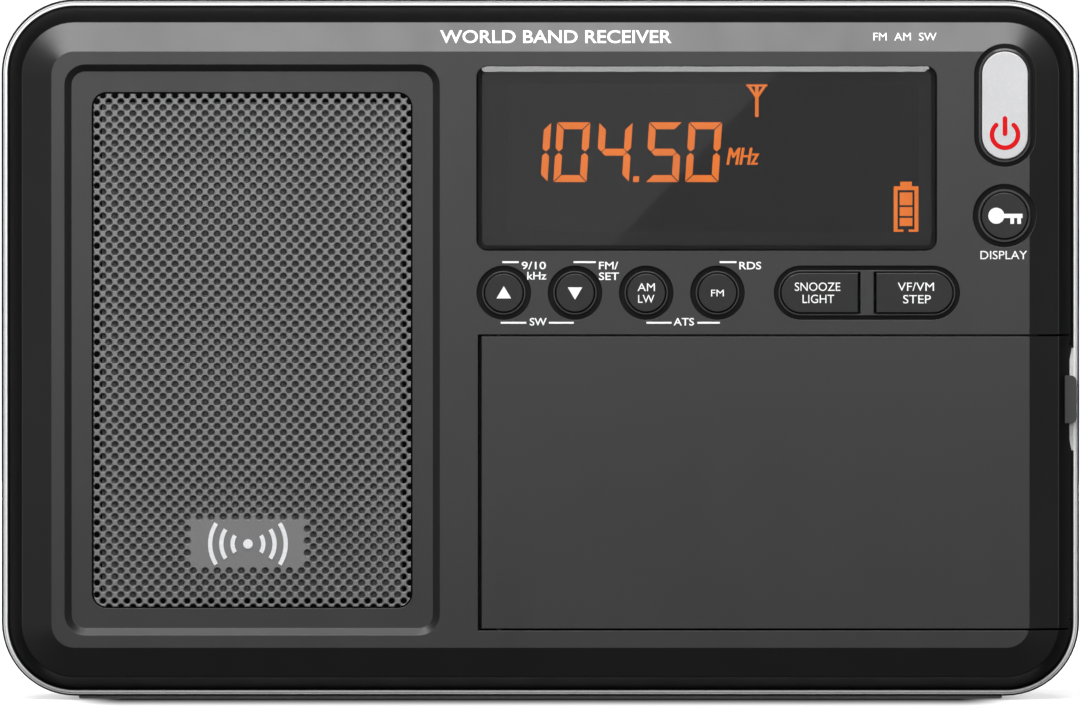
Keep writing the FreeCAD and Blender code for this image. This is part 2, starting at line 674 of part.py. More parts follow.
def thumb_wheel(z):
    """Ridged disc: the notches are small half-round grooves across the rim."""
    disc = rod_y(WHEEL_X, z, WHEEL_R, WHEEL_Y[0], WHEEL_Y[1])
    grooves = []
    for n in range(WHEEL_NOTCHES):
        a = 2 * math.pi * n / WHEEL_NOTCHES
        gx = WHEEL_X + (WHEEL_R + 0.15) * math.cos(a)
        gz = z + (WHEEL_R + 0.15) * math.sin(a)
        grooves.append(rod_y(gx, gz, 0.42, WHEEL_Y[0] - 1, WHEEL_Y[1] + 1))
    bore = rod_y(WHEEL_X, z, WHEEL_SHAFT_R + 0.05, -1, 20)
    return cut(disc, bore, *grooves)


def headphone_jack():
    face = -68.9
    block = box(-66.6, -55.6, SOCKET_Y - 3.2, SOCKET_BACK, PHONE_Z - 3.2, PHONE_Z + 3.2)
    nose = rod_x(SOCKET_Y, PHONE_Z, 3.0, face, -66.0)
    return fuse(block, nose).cut(rod_x(SOCKET_Y, PHONE_Z, PHONE_BORE_R, face - 1, face + 12.0))


def power_socket():
    face = -68.7
    block = box(-66.6, -56.5, SOCKET_Y - 4.2, SOCKET_BACK, POWER_IN_Z - 4.2, POWER_IN_Z + 4.2)
    nose = rod_x(SOCKET_Y, POWER_IN_Z, 3.8, face, -66.0)
    shell = fuse(block, nose).cut(rod_x(SOCKET_Y, POWER_IN_Z, POWER_IN_R, face - 1, face + 9.0))
    pin = rod_x(SOCKET_Y, POWER_IN_Z, 0.65, face + 1.0, face + 9.5)
    return fuse(shell, pin)


# ================================================================ batteries
def cell_places():
    first = (TUB[0] + TUB[1]) / 2 - CELL_PITCH
    return [(first + n * CELL_PITCH, 1 if n % 2 == 0 else -1) for n in range(3)]


def battery_cells():
    """Three AA cells side by side, every second one the other way up."""
    cells = []
    for x, way in cell_places():
        low = TUB[4] + (4.4 if way > 0 else 1.0 + CELL_NUB[1])
        body = rod_z(x, CELL_Y, CELL_R, low, low + CELL_BODY)
        tip = low + CELL_BODY if way > 0 else low - CELL_NUB[1]
        cells.append(fuse(body, rod_z(x, CELL_Y, CELL_NUB[0], tip, tip + CELL_NUB[1])))
    return cells


def battery_springs():
    """One coil spring at the flat end of each cell."""
    springs = []
    for x, way in cell_places():
        length = 3.2 - 2 * SPRING_WIRE - 0.1
        helix = Part.makeHelix(length / SPRING_TURNS, length, SPRING_R)
        start = Part.makeCircle(SPRING_WIRE, V(SPRING_R, 0, 0), V(0, 1, 0))
        coil = Part.Wire(helix).makePipeShell([Part.Wire(start)], True, True)
        coil.translate(V(x, CELL_Y, 0))
        base = TUB[4] + 1.0 + SPRING_WIRE if way > 0 else TUB[5] - 1.0 - length - SPRING_WIRE
        coil.translate(V(0, 0, base + (0.05 if way > 0 else -0.05)))
        springs.append(coil)
    return springs


def battery_contacts():
    """Spring steel plates at both ends of the tub."""
    plates = []
    for x, _ in cell_places():
        for z in (TUB[4], TUB[5] - 0.9):
            plates.append(box(x - 5.5, x + 5.5, CELL_Y - 5.0, CELL_Y + 5.0, z, z + 0.9))
    return plates


def battery_door():
    outline = inset(BATTERY_DOOR, 0.2)
    x0, x1, z0, z1, r = outline
    plate = rounded_prism(outline, BATTERY_DOOR_BACK, Y_BACK)
    middle = (x0 + x1) / 2
    grips = [
        box(middle - 8, middle + 8, Y_BACK - 0.7, Y_BACK + 1, z, z + 0.9) for z in (56.0, 57.8, 59.6, 61.4)
    ]
    tx0, tx1, ty0, ty1, tz0, tz1 = TUB
    inner = BATTERY_DOOR_BACK
    frame = box(tx0 + 0.3, tx1 - 0.3, inner - 0.8, inner, tz0 + 0.3, tz1 - 0.3)
    frame = frame.cut(box(tx0 + 1.5, tx1 - 1.5, 0, 20, tz0 + 1.5, tz1 - 1.5))
    return cut(fuse(plate, frame), *grips)


# ================================================================ rear of the case
def rear_case():
    back_edge = inset(REAR_EDGE, REAR_TAPER)
    shell = rounded_loft(REAR_EDGE, Y_RIM_BACK, back_edge, Y_BACK)
    shell = fillet_where(shell, REAR_ROUND, lambda b: b.YMin > Y_BACK - 0.01)
    hollow = rounded_loft(inset(REAR_EDGE, WALL), Y_RIM_BACK - 0.5, inset(back_edge, WALL), Y_BACK - WALL)
    hollow = fillet_where(hollow, REAR_ROUND * 0.6, lambda b: b.YMin > Y_BACK - WALL - 0.01)
    tx0, tx1, ty0, ty1, tz0, tz1 = TUB
    t = TUB_WALL
    tub = box(tx0 - t, tx1 + t, ty0 - t, Y_BACK - 1, tz0 - t, tz1 + t)
    sx0, sx1, sz0, sz1 = STAND
    stand_pad = box(sx0 - 3, sx1 + 3, STAND_RECESS_Y - 1.4, Y_BACK - 1, sz0 - 3, sz1 + 4)
    step_pad = box(-OUTSIDE, OUTSIDE, STEP_Y - 1.8, OUTSIDE, STEP_Z - 1.8, OUTSIDE)
    socket_rib = box(-66.8, -56.5, SOCKET_BACK, Y_BACK - 1, POWER_IN_Z - 3.5, PHONE_Z + 3.2)
    ribs = [box(x - 1, x + 1, ROD_Y, Y_BACK - 1, ROD_Z - ROD_R - 0.8, STEP_Z) for x in ROD_RIBS]
    ribs = [rib.cut(ferrite_rod(TINY)) for rib in ribs]
    wheel_pads = box(66.2, 69.0, WHEEL_Y[0] - 3.5, WHEEL_Y[1] + 3.5, 34.5, 77.5)
    posts = [rod_y(x, z, 3.3, 0.4 + TINY, Y_BACK - 1) for x, z in SCREW_POSTS]
    pads = (tub, stand_pad, step_pad, socket_rib, wheel_pads, *ribs, *posts)
    inner = [shell.common(piece) for piece in pads]
    body = fuse(shell.cut(hollow), *inner)
    return cut(body, *rear_openings())


def rear_openings():
    tx0, tx1, ty0, ty1, tz0, tz1 = TUB
    sx0, sx1, sz0, sz1 = STAND
    tools = [
        box(tx0, tx1, ty0, OUTSIDE, tz0, tz1),
        rounded_prism(BATTERY_DOOR, BATTERY_DOOR_BACK, OUTSIDE),
        box(-OUTSIDE, OUTSIDE, STEP_Y, OUTSIDE, STEP_Z, OUTSIDE),
        box(sx0 - 0.3, sx1 + 0.3, STAND_RECESS_Y, OUTSIDE, sz0 - 0.4, sz1 + 1.6),
        box((sx0 + sx1) / 2 - 6, (sx0 + sx1) / 2 + 6, STAND_RECESS_Y, OUTSIDE, sz0 - 2.6, sz0),
        rod_x(STAND_AXIS_Y, sz1, STAND_PIN_R + 0.05, sx0 - 2.0, sx1 + 2.0),
        rod_y(SWIVEL_X, ANTENNA_Z, 1.55, 0, STEP_Y + 1),
        rod_x(SOCKET_Y, PHONE_Z, 3.0 + FIT, -OUTSIDE, -66.0),
        rod_x(SOCKET_Y, POWER_IN_Z, 3.8 + FIT, -OUTSIDE, -66.0),
        foot_blank(FIT),
        rod_y(-56.0, 70.0, 0.8, Y_BACK - 5, Y_BACK + 1),
        rounded_prism(LABEL_RECESS, Y_BACK - 0.3, Y_BACK + 1),
    ]
    for x, z in SCREW_POSTS:
        tools.append(rod_y(x, z, 2.5, SCREW_HEAD_Y, OUTSIDE))
        tools.append(rod_y(x, z, 1.3, 0, SCREW_HEAD_Y + 1))
    for z in WHEEL_Z:
        half = math.sqrt(WHEEL_R ** 2 - (65.5 - WHEEL_X) ** 2) + 1.0
        tools.append(box(66.0, OUTSIDE, WHEEL_Y[0] - 0.3, WHEEL_Y[1] + 0.3, z - half, z + half))
        tools.append(rod_y(WHEEL_X, z, WHEEL_R + 0.4, WHEEL_Y[0] - 0.3, WHEEL_Y[1] + 0.3))
        tools.append(finger_dish(z))
    return tools


def finger_dish(z):
    """Shallow dish in the side wall round a thumb wheel, so that a finger reaches its rim."""
    dish_r = 26.0
    middle_y = (WHEEL_Y[0] + WHEEL_Y[1]) / 2
    return Part.makeSphere(dish_r, V(HALF_WIDTH - 2.0 + dish_r, middle_y, z))


def foot_blank(grow=0.0):
    return box(-60.0 - grow, 60.0 + grow, -4.2 - grow, 8.6 + grow, -1.0, 1.8 + grow)


def foot_strip():
    """Rubber strip under the case that makes its tapered underside stand level."""
    strip = box(-60.0, 60.0, -4.2, 8.6, 0.0, 1.8)
    return fillet_where(strip, 0.3, lambda b: b.ZMax < 0.01)


def case_screws():
    screws = []
    for x, z in SCREW_POSTS:
        head = rod_y(x, z, 2.2, SCREW_HEAD_Y, SCREW_HEAD_Y + 1.6)
        shank = rod_y(x, z, 1.1, -7.0, SCREW_HEAD_Y + 0.5)
        cross = [
            box(x - 1.4, x + 1.4, SCREW_HEAD_Y + 0.7, SCREW_HEAD_Y + 2, z - 0.3, z + 0.3),
            box(x - 0.3, x + 0.3, SCREW_HEAD_Y + 0.7, SCREW_HEAD_Y + 2, z - 1.4, z + 1.4),
        ]
        screws.append(cut(fuse(head, shank), *cross))
    return screws


def stand():
    """Flap stand: a plate with a rounded hinge end, a pin at each side and a shallow panel."""
    x0, x1, z0, axis_z = STAND
    back = Y_BACK - 0.1
    plate = box(x0, x1, back - STAND_THICK, back, z0, axis_z)
    barrel = rod_x(STAND_AXIS_Y, axis_z, back - STAND_AXIS_Y, x0, x1)
    pins = rod_x(STAND_AXIS_Y, axis_z, STAND_PIN_R, x0 - 1.8, x1 + 1.8)
    panel = rounded_prism((x0 + 5, x1 - 5, z0 + 7, axis_z - 7, 2.5), back - 0.6, back + 1)
    return cut(fuse(plate, barrel, pins), panel)


# ================================================================ telescopic antenna
def antenna_bracket():
    """Shaft on the case that the antenna's knuckle turns on, with its head inside the case."""
    shaft = rod_y(SWIVEL_X, ANTENNA_Z, 1.5, 3.6, 9.4)
    head = box(SWIVEL_X - 2.6, SWIVEL_X + 2.6, 3.0, STEP_Y - 1.8, ANTENNA_Z - 2.6, ANTENNA_Z + 1.1)
    return fuse(shaft, head)


def antenna_knuckle():
    """Turns about Y on the shaft and forks round the root of the mast."""
    y, z = ANTENNA_Y, ANTENNA_Z
    drum = rod_y(SWIVEL_X, z, 3.1, STEP_Y + 0.2, y + 2.7)
    fork = box(ELBOW_X, SWIVEL_X, y - 2.5, y + 2.5, z - 2.6, z + 2.6)
    ears = rod_z(ELBOW_X, y, 2.5, z - 2.6, z + 2.6)
    gap = box(ELBOW_X - 4, ELBOW_X + 2.9, y - 4, y + 4, z - 1.35, z + 1.35)
    bore = rod_y(SWIVEL_X, z, 1.55, 0, 9.6)
    hole = rod_z(ELBOW_X, y, 0.8, z - 4, z + 4)
    return cut(fuse(drum, fork, ears), gap, bore, hole)


def antenna_elbow_pin():
    return rod_z(ELBOW_X, ANTENNA_Y, 0.8, ANTENNA_Z - 2.6, ANTENNA_Z + 2.6)


def mast_root():
    """Flat tongue that pivots in the knuckle's fork, ending in the plug of the widest tube."""
    y, z = ANTENNA_Y, ANTENNA_Z
    tongue = rod_z(ELBOW_X, y, 2.2, z - 1.25, z + 1.25)
    neck = box(ELBOW_X - 4.2, ELBOW_X, y - 2.2, y + 2.2, z - 1.25, z + 1.25)
    return cut(fuse(tongue, neck), rod_z(ELBOW_X, y, 0.85, z - 4, z + 4))


def mast_tube(n):
    """Tube n of the mast. The first carries the root, and the last is a rod with the cap."""
    r = TUBE_RADII[n]
    right = ELBOW_X - 3.4 - 1.6 * n
    left = TUBE_LEFT - 0.6 * n
    tube = rod_x(ANTENNA_Y, ANTENNA_Z, r, left, right)
    if n < len(TUBE_RADII) - 1:
        bore = r - TUBE_WALL
        tube = tube.cut(rod_x(ANTENNA_Y, ANTENNA_Z, bore, left - 1, right - (1.2 if n == 0 else -1)))
    if n == 0:
        return fuse(tube, mast_root())
    if n == len(TUBE_RADII) - 1:
        cap = rod_x(ANTENNA_Y, ANTENNA_Z, TUBE_RADII[0], left - 6.0, left)
        cap = fillet_where(cap, 0.8, lambda b: b.XLength < 0.01)
        return fuse(tube, cap)
    return tube


# ================================================================ build everything
def build():
    os.makedirs(OUT, exist_ok=True)
    save("front_fascia", front_fascia())
    save("front_case", front_case())
    save("rim_trim", rim_trim())
    save("rear_case", rear_case())
    save("speaker_grille", grille_sheet())
    save("grille_cloth", grille_cloth())
    save("speaker_frame", speaker_frame())
    save("speaker_cone", speaker_cone())
    save("speaker_magnet", speaker_magnet())
    save("speaker_screws", *speaker_screws())
    save("display_lens", display_lens())
    save("lcd_glass", lcd_glass())
    save("lcd_backlight", lcd_backlight())
    save("lcd_frame", lcd_frame())
    save("lcd_connector", lcd_connector())
    save("button_surrounds", *button_surrounds())
    for name, x in zip(ROUND_KEYS, ROUND_KEY_X):
        save(name, round_button(x, KEY_ROW_Z, KEY_R, KEY_PROUD))
    save("lock_button", round_button(LOCK_X, LOCK_Z, LOCK_R, KEY_PROUD))
    save("power_button", power_button())
    save("snooze_light_button", pair_button(-1))
    save("step_button", pair_button(1))
    save("door_panel", door_panel())
    save("door_edge", door_edge())
    save("door_pull_tab", pull_tab())
    save("door_hinge_pins", *door_pin_rods(DOOR_PIN_R, DOOR_PIN_HALF))
    save("key_deck", key_deck())
    for z, names in zip(SMALL_KEY_ROWS, SMALL_KEY_NAMES):
        for x, name in zip(SMALL_KEY_COLUMNS, names):
            save(name, small_key(x, z))
    save("main_board", main_board())
    save("tact_switches", *tact_switches())
    save("board_components", *board_components())
    save("board_screws", *board_screws())
    save("ferrite_rod", ferrite_rod())
    save("ferrite_coil", ferrite_coil())
    save("wheel_encoders", *wheel_encoders())
    save("volume_wheel", thumb_wheel(WHEEL_Z[0]))
    save("tuning_wheel", thumb_wheel(WHEEL_Z[1]))
    save("headphone_jack", headphone_jack())
    save("power_socket", power_socket())
    save("battery_cells", *battery_cells())
    save("battery_springs", *battery_springs())
    save("battery_contacts", *battery_contacts())
    save("battery_door", battery_door())
    save("foot_strip", foot_strip())
    save("case_screws", *case_screws())
    save("stand", stand())
    save("antenna_bracket", antenna_bracket())
    save("antenna_knuckle", antenna_knuckle())
    save("antenna_elbow_pin", antenna_elbow_pin())
    for n, name in enumerate(("antenna_tube_1", "antenna_tube_2", "antenna_tube_3", "antenna_tip")):
        save(name, mast_tube(n))


build()
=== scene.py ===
import math

import bmesh
import bpy
from mathutils import Matrix, Vector


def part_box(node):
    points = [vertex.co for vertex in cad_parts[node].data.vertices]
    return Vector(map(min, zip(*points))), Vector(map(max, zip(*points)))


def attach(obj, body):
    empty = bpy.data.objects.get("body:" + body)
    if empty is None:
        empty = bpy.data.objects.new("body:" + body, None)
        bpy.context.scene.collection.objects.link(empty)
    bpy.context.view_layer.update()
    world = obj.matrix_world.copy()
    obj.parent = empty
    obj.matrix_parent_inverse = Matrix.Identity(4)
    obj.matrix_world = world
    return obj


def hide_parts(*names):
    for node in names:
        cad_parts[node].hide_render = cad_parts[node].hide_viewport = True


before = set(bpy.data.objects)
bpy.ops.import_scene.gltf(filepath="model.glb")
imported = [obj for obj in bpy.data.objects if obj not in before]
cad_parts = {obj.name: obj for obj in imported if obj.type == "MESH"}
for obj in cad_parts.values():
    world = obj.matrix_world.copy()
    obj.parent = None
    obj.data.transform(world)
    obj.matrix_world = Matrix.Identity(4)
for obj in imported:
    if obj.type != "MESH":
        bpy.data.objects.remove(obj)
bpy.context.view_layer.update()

# Looks of the portable shortwave receiver. Everything is in metres, in the frame of the CAD model:
# X right, Y from front to back, Z up. Sizes that people think of in millimetres are multiplied by MM.

MM = 0.001
BODY = "receiver"

# Corners of the case and of the rim round its front, seen from the front.
CASE_CORNER_R = 9.6 * MM
RIM_CORNER_R = 9.4 * MM

# Silver paint on the rim with lines of painted shade, given by how far in from its outline they start and
# end.
RIM_OUTER_SHADE = (0.09 * MM, 0.12 * MM)  # painted shade out to here, silver from here
RIM_INNER_SHADE = (0.54 * MM, 0.60 * MM)  # silver out to here, painted shade from here
RIM_GROOVE = (0.17 * MM, 0.21 * MM, 0.29 * MM, 0.33 * MM)  # painted shade in the fine groove, darkest between the middle two
GROOVE_SHADE = 0.4  # painted shade in the groove, as a share of full black
RIM_FRONT_DEPTH = (0.09 * MM, 0.13 * MM)  # the outer line of painted shade is only on the front
NOTCH_MIDDLE = 39.0 * MM  # the door's notch shows the rim's whole width
NOTCH_HALF = (6.6 * MM, 6.7 * MM)
JOINT_LIP = (0.02 * MM, 0.2 * MM, 0.3 * MM)  # lip of painted shade over the joint: inset of its two sides, and depth

PRINT_THICK = 0.015 * MM
PRINT_WHITE = "print_white"

# Perforated grille: holes on a square lattice turned by 45 degrees.
HOLE_STEP = 1.56 * MM  # between holes in one row; rows are half a step apart
HOLE_R = 0.385 * MM
HOLE_RIM = 0.135 * MM  # rolled edge round each hole
HOLE_SIDES = 12
FIRST_HOLE = (1.20 * MM, 0.70 * MM)  # from the sheet's lower left corner
SHEET_CORNER_R = 1.68 * MM
SHEET_THICK = 0.6 * MM
EMBLEM_PATCH = (12.6 * MM, 27.4 * MM, 5.2 * MM, 11.0 * MM)  # no holes here, from the same corner

# Sloped edge of the front face.
BEVEL_DEPTH = 2.0 * MM
BEVEL_HEIGHT = 3.85 * MM

# Display: a frequency in slanted seven-segment figures.
FIGURES = (("1", -3.4), ("0", 1.67), ("4", 7.15), ("5", 13.6), ("0", 18.75))  # left edge in mm
FIGURE_BOTTOM = 67.25
FIGURE_SIZE = (4.3, 7.75)
FIGURE_STROKE = 0.9
FIGURE_SLANT = 0.065
FIGURE_GAP = 0.09
UNIT_BOLDER = 0.07  # the unit is set three times, this far apart, to thicken its strokes
MASK_LIP = 0.6  # the mask stops this far short of the window's edge and laps this far over the glass


# ================================================================ node helpers
def tree(name):
    """A new material, its node tree and its principled shader."""
    mat = bpy.data.materials.new(name)
    mat.use_nodes = True
    nodes = mat.node_tree.nodes
    return mat, mat.node_tree, nodes["Principled BSDF"]


def place(nt, stretch=(1, 1, 1)):
    """The point on the object in metres, stretched for grain that runs one way."""
    where = nt.nodes.new("ShaderNodeTexCoord")
    mapping = nt.nodes.new("ShaderNodeMapping")
    mapping.inputs["Scale"].default_value = stretch
    nt.links.new(where.outputs["Object"], mapping.inputs["Vector"])
    return mapping.outputs["Vector"]


def noise(nt, vector, size, detail=2.0, rough=0.5):
    """Noise with features about size metres across."""
    tex = nt.nodes.new("ShaderNodeTexNoise")
    tex.inputs["Scale"].default_value = 1.0 / size
    tex.inputs["Detail"].default_value = detail
    tex.inputs["Roughness"].default_value = rough
    nt.links.new(vector, tex.inputs["Vector"])
    return tex.outputs["Fac"]


def remap(nt, value, low, high, start=0.3, end=0.7):
    node = nt.nodes.new("ShaderNodeMapRange")
    node.inputs["From Min"].default_value = start
    node.inputs["From Max"].default_value = end
    node.inputs["To Min"].default_value = low
    node.inputs["To Max"].default_value = high
    nt.links.new(value, node.inputs["Value"])
    return node.outputs["Result"]


def mix(nt, factor, first, second):
    """A blend of two colours, either of which may be a socket."""
    node = nt.nodes.new("ShaderNodeMix")
    node.data_type = "RGBA"
    nt.links.new(factor, node.inputs["Factor"])
    for socket, colour in (("A", first), ("B", second)):
        target = [s for s in node.inputs if s.name == socket and s.type == "RGBA"][0]
        if isinstance(colour, tuple):
            target.default_value = (*colour, 1.0)
        else:
            nt.links.new(colour, target)
    return [s for s in node.outputs if s.type == "RGBA"][0]


def bump(nt, height, strength, distance, normal=None):
    node = nt.nodes.new("ShaderNodeBump")
    node.inputs["Strength"].default_value = strength
    node.inputs["Distance"].default_value = distance
    nt.links.new(height, node.inputs["Height"])
    if normal is not None:
        nt.links.new(normal, node.inputs["Normal"])
    return node.outputs["Normal"]


def maths(nt, first, second, operation="MULTIPLY"):
    """One step of arithmetic on two values, either of which may be a plain float."""
    node = nt.nodes.new("ShaderNodeMath")
    node.operation = operation
    for n, value in enumerate((first, second)):
        if isinstance(value, float):
            node.inputs[n].default_value = value
        else:
            nt.links.new(value, node.inputs[n])
    return node.outputs[0]


def soft_edges(nt, radius):
    """Normals that turn smoothly over an edge, as on a moulded corner."""
    node = nt.nodes.new("ShaderNodeBevel")
    node.samples = 4
    node.inputs["Radius"].default_value = radius
    return node.outputs["Normal"]


def tint(colour, factor):
    return tuple(min(1.0, c * factor) for c in colour)


# ================================================================ materials
def plastic(name, colour, rough, grain=0.16 * MM, depth=0.2, edge=0.12 * MM, spec=0.5):
    """Moulded plastic: fine spark-eroded grain, cloudy sheen and a little dust and handling wear."""
    mat, nt, shader = tree(name)
    at = place(nt)
    cloud = noise(nt, at, 14 * MM, 4.0, 0.6)
    speck = noise(nt, at, 0.35 * MM, 2.0)
    fine = noise(nt, at, grain, 2.0, 0.6)
    base = mix(nt, remap(nt, cloud, 0, 1), tint(colour, 0.93), tint(colour, 1.07))
    base = mix(nt, remap(nt, speck, 0, 0.16, 0.55, 0.75), base, tint(colour, 1.6))
    nt.links.new(base, shader.inputs["Base Color"])
    wipe = noise(nt, place(nt, (1, 1, 0.25)), 6 * MM, 3.0)
    nt.links.new(remap(nt, wipe, rough - 0.035, rough + 0.035), shader.inputs["Roughness"])
    shader.inputs["Specular IOR Level"].default_value = spec
    normal = soft_edges(nt, edge) if edge else None
    nt.links.new(bump(nt, fine, depth, 0.02 * MM, normal), shader.inputs["Normal"])
    return mat


def metal(name, colour, rough, stretch=(1, 1, 1), grain=0.12 * MM, depth=0.15, metallic=1.0, edge=0.0):
    """Metal with rolled or brushed grain along one way and faint smudges."""
    mat, nt, shader = tree(name)
    at = place(nt, stretch)
    streak = noise(nt, at, grain, 3.0, 0.65)
    smudge = noise(nt, place(nt), 8 * MM, 3.0)
    base = mix(nt, remap(nt, streak, 0, 1), tint(colour, 0.88), tint(colour, 1.06))
    nt.links.new(base, shader.inputs["Base Color"])
    shader.inputs["Metallic"].default_value = metallic
    nt.links.new(remap(nt, smudge, rough * 0.8, rough * 1.3), shader.inputs["Roughness"])
    normal = soft_edges(nt, edge) if edge else None
    nt.links.new(bump(nt, streak, depth, 0.01 * MM, normal), shader.inputs["Normal"])
    return mat


def vector_math(nt, operation, first, second=(0, 0, 0)):
    node = nt.nodes.new("ShaderNodeVectorMath")
    node.operation = operation
    nt.links.new(first, node.inputs[0])
    node.inputs[1].default_value = second
    return node.outputs["Value" if operation == "LENGTH" else "Vector"]


def rim_paint_and_shade():
    """Silver paint on the rim, with painted shade: black along both joints and dark in the fine groove."""
    mat, nt, shader = tree("rim_paint_and_shade")
    low, high = (Vector(corner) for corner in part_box("rim_trim"))
    middle = (low + high) / 2
    straight = (high - low) / 2 - Vector((RIM_CORNER_R, 0, RIM_CORNER_R))
    at = place(nt)
    reach = vector_math(nt, "ABSOLUTE", vector_math(nt, "SUBTRACT", at, middle))
    reach = vector_math(nt, "MAXIMUM", vector_math(nt, "SUBTRACT", reach, straight))
    across = vector_math(nt, "LENGTH", vector_math(nt, "MULTIPLY", reach, (1, 0, 1)))
    split = nt.nodes.new("ShaderNodeSeparateXYZ")
    nt.links.new(at, split.inputs["Vector"])
    inset = maths(nt, RIM_CORNER_R, across, "SUBTRACT")
    front = remap(nt, split.outputs["Y"], 1, 0, *[low[1] + depth for depth in RIM_FRONT_DEPTH])
    outer = maths(nt, remap(nt, inset, 1, 0, *RIM_OUTER_SHADE), front)
    from_notch = maths(nt, maths(nt, split.outputs["Z"], NOTCH_MIDDLE, "SUBTRACT"), 0.0, "ABSOLUTE")
    on_right = remap(nt, split.outputs["X"], 0, 1, 0.0, 1 * MM)
    notch = maths(nt, remap(nt, from_notch, 1, 0, *NOTCH_HALF), on_right)
    inner = maths(nt, remap(nt, inset, 0, 1, *RIM_INNER_SHADE), maths(nt, 1.0, notch, "SUBTRACT"))
    groove = remap(nt, inset, GROOVE_SHADE, 0, *RIM_GROOVE[2:])
    groove = maths(nt, remap(nt, inset, 0, 1, *RIM_GROOVE[:2]), groove)
    # painted shade: black along both joints (the inner one left off at the door's notch), dark in the fine
    # groove
    black = maths(nt, maths(nt, outer, inner, "MAXIMUM"), groove, "MAXIMUM")
    streak = noise(nt, at, 0.12 * MM, 3.0, 0.65)
    silver = mix(nt, remap(nt, streak, 0, 1), (0.72, 0.72, 0.73), (0.86, 0.86, 0.87))
    nt.links.new(mix(nt, black, silver, (0.004, 0.004, 0.004)), shader.inputs["Base Color"])
    nt.links.new(remap(nt, black, 0.3, 0.0, 0, 1), shader.inputs["Metallic"])
    nt.links.new(remap(nt, black, 0.34, 0.8, 0, 1), shader.inputs["Roughness"])
    nt.links.new(bump(nt, streak, 0.15, 0.01 * MM, soft_edges(nt, 0.04 * MM)), shader.inputs["Normal"])
    return mat


def printed(name, colour, rough=0.45, spec=0.5):
    """Screen-printed ink: slightly uneven cover with a soft edge to its sheen."""
    mat, nt, shader = tree(name)
    at = place(nt)
    cover = noise(nt, at, 0.2 * MM, 3.0)
    base = mix(nt, remap(nt, cover, 0, 1), tint(colour, 0.93), colour)
    nt.links.new(base, shader.inputs["Base Color"])
    nt.links.new(remap(nt, cover, rough - 0.05, rough + 0.08), shader.inputs["Roughness"])
    nt.links.new(bump(nt, cover, 0.1, 0.005 * MM), shader.inputs["Normal"])
    shader.inputs["Specular IOR Level"].default_value = spec
    return mat


def clear_window():
    """Smoked acrylic with a hard polished face and a few hairline marks."""
    mat, nt, shader = tree("smoked_acrylic")
    marks = noise(nt, place(nt, (1, 1, 0.05)), 0.4 * MM, 3.0)
    haze = noise(nt, place(nt), 9 * MM, 2.0)
    base = mix(nt, remap(nt, haze, 0, 1), (0.46, 0.46, 0.47), (0.50, 0.50, 0.51))
    nt.links.new(base, shader.inputs["Base Color"])
    nt.links.new(remap(nt, marks, 0.012, 0.018, 0.4, 0.8), shader.inputs["Roughness"])
    shader.inputs["Transmission Weight"].default_value = 1.0
    shader.inputs["IOR"].default_value = 1.49
    return mat


def lcd_black():
    """Negative liquid-crystal glass: black, with the faint matrix of its cells."""
    mat, nt, shader = tree("lcd_black")
    at = place(nt)
    grid = nt.nodes.new("ShaderNodeTexChecker")
    grid.inputs["Scale"].default_value = 1 / (0.5 * MM)
    nt.links.new(at, grid.inputs["Vector"])
    cloud = noise(nt, at, 10 * MM, 2.0)
    first = mix(nt, grid.outputs["Fac"], (0.0022, 0.002, 0.002), (0.0026, 0.0024, 0.0023))
    base = mix(nt, remap(nt, cloud, 0, 0.4), first, (0.003, 0.0028, 0.0026))
    nt.links.new(base, shader.inputs["Base Color"])
    nt.links.new(remap(nt, cloud, 0.35, 0.45), shader.inputs["Roughness"])
    shader.inputs["Specular IOR Level"].default_value = 0.05
    return mat


def glowing(name, colour, strength):
    """Backlit segment: an even glow with the slight unevenness of the lamp behind."""
    mat, nt, shader = tree(name)
    cloud = noise(nt, place(nt), 5 * MM, 2.0)
    base = mix(nt, remap(nt, cloud, 0, 1), tint(colour, 0.92), colour)
    nt.links.new(base, shader.inputs["Emission Color"])
    shader.inputs["Emission Strength"].default_value = strength
    shader.inputs["Base Color"].default_value = (0.02, 0.01, 0.005, 1)
    nt.links.new(remap(nt, cloud, 0.5, 0.6), shader.inputs["Roughness"])
    return mat


def woven(name, colour, thread=0.12 * MM):
    """Open dust cloth: crossed threads, with painted shade between them."""
    mat, nt, shader = tree(name)
    at = place(nt)
    waves = []
    for direction in ("X", "Z"):
        wave = nt.nodes.new("ShaderNodeTexWave")
        wave.bands_direction = direction
        wave.inputs["Scale"].default_value = 1 / (thread * 20)
        nt.links.new(at, wave.inputs["Vector"])
        waves.append(wave.outputs["Fac"])
    both = maths(nt, *waves)
    # darker where the weave sinks between threads: painted shade
    base = mix(nt, both, tint(colour, 0.55), tint(colour, 1.35))
    nt.links.new(base, shader.inputs["Base Color"])
    nt.links.new(remap(nt, both, 0.8, 0.95, 0, 1), shader.inputs["Roughness"])
    nt.links.new(bump(nt, both, 0.6, 0.05 * MM), shader.inputs["Normal"])
    return mat


def rubber(name, colour):
    """Rubber with fine ribs along its length."""
    mat, nt, shader = tree(name)
    at = place(nt)
    ribs = nt.nodes.new("ShaderNodeTexWave")
    ribs.bands_direction = "Y"
    ribs.inputs["Scale"].default_value = 1 / (20 * 0.8 * MM)
    nt.links.new(at, ribs.inputs["Vector"])
    dust = noise(nt, at, 1.2 * MM, 4.0)
    base = mix(nt, remap(nt, dust, 0, 1, 0.45, 0.75), colour, tint(colour, 1.2))
    nt.links.new(base, shader.inputs["Base Color"])
    nt.links.new(remap(nt, dust, 0.65, 0.8), shader.inputs["Roughness"])
    nt.links.new(bump(nt, ribs.outputs["Fac"], 0.5, 0.1 * MM), shader.inputs["Normal"])
    return mat


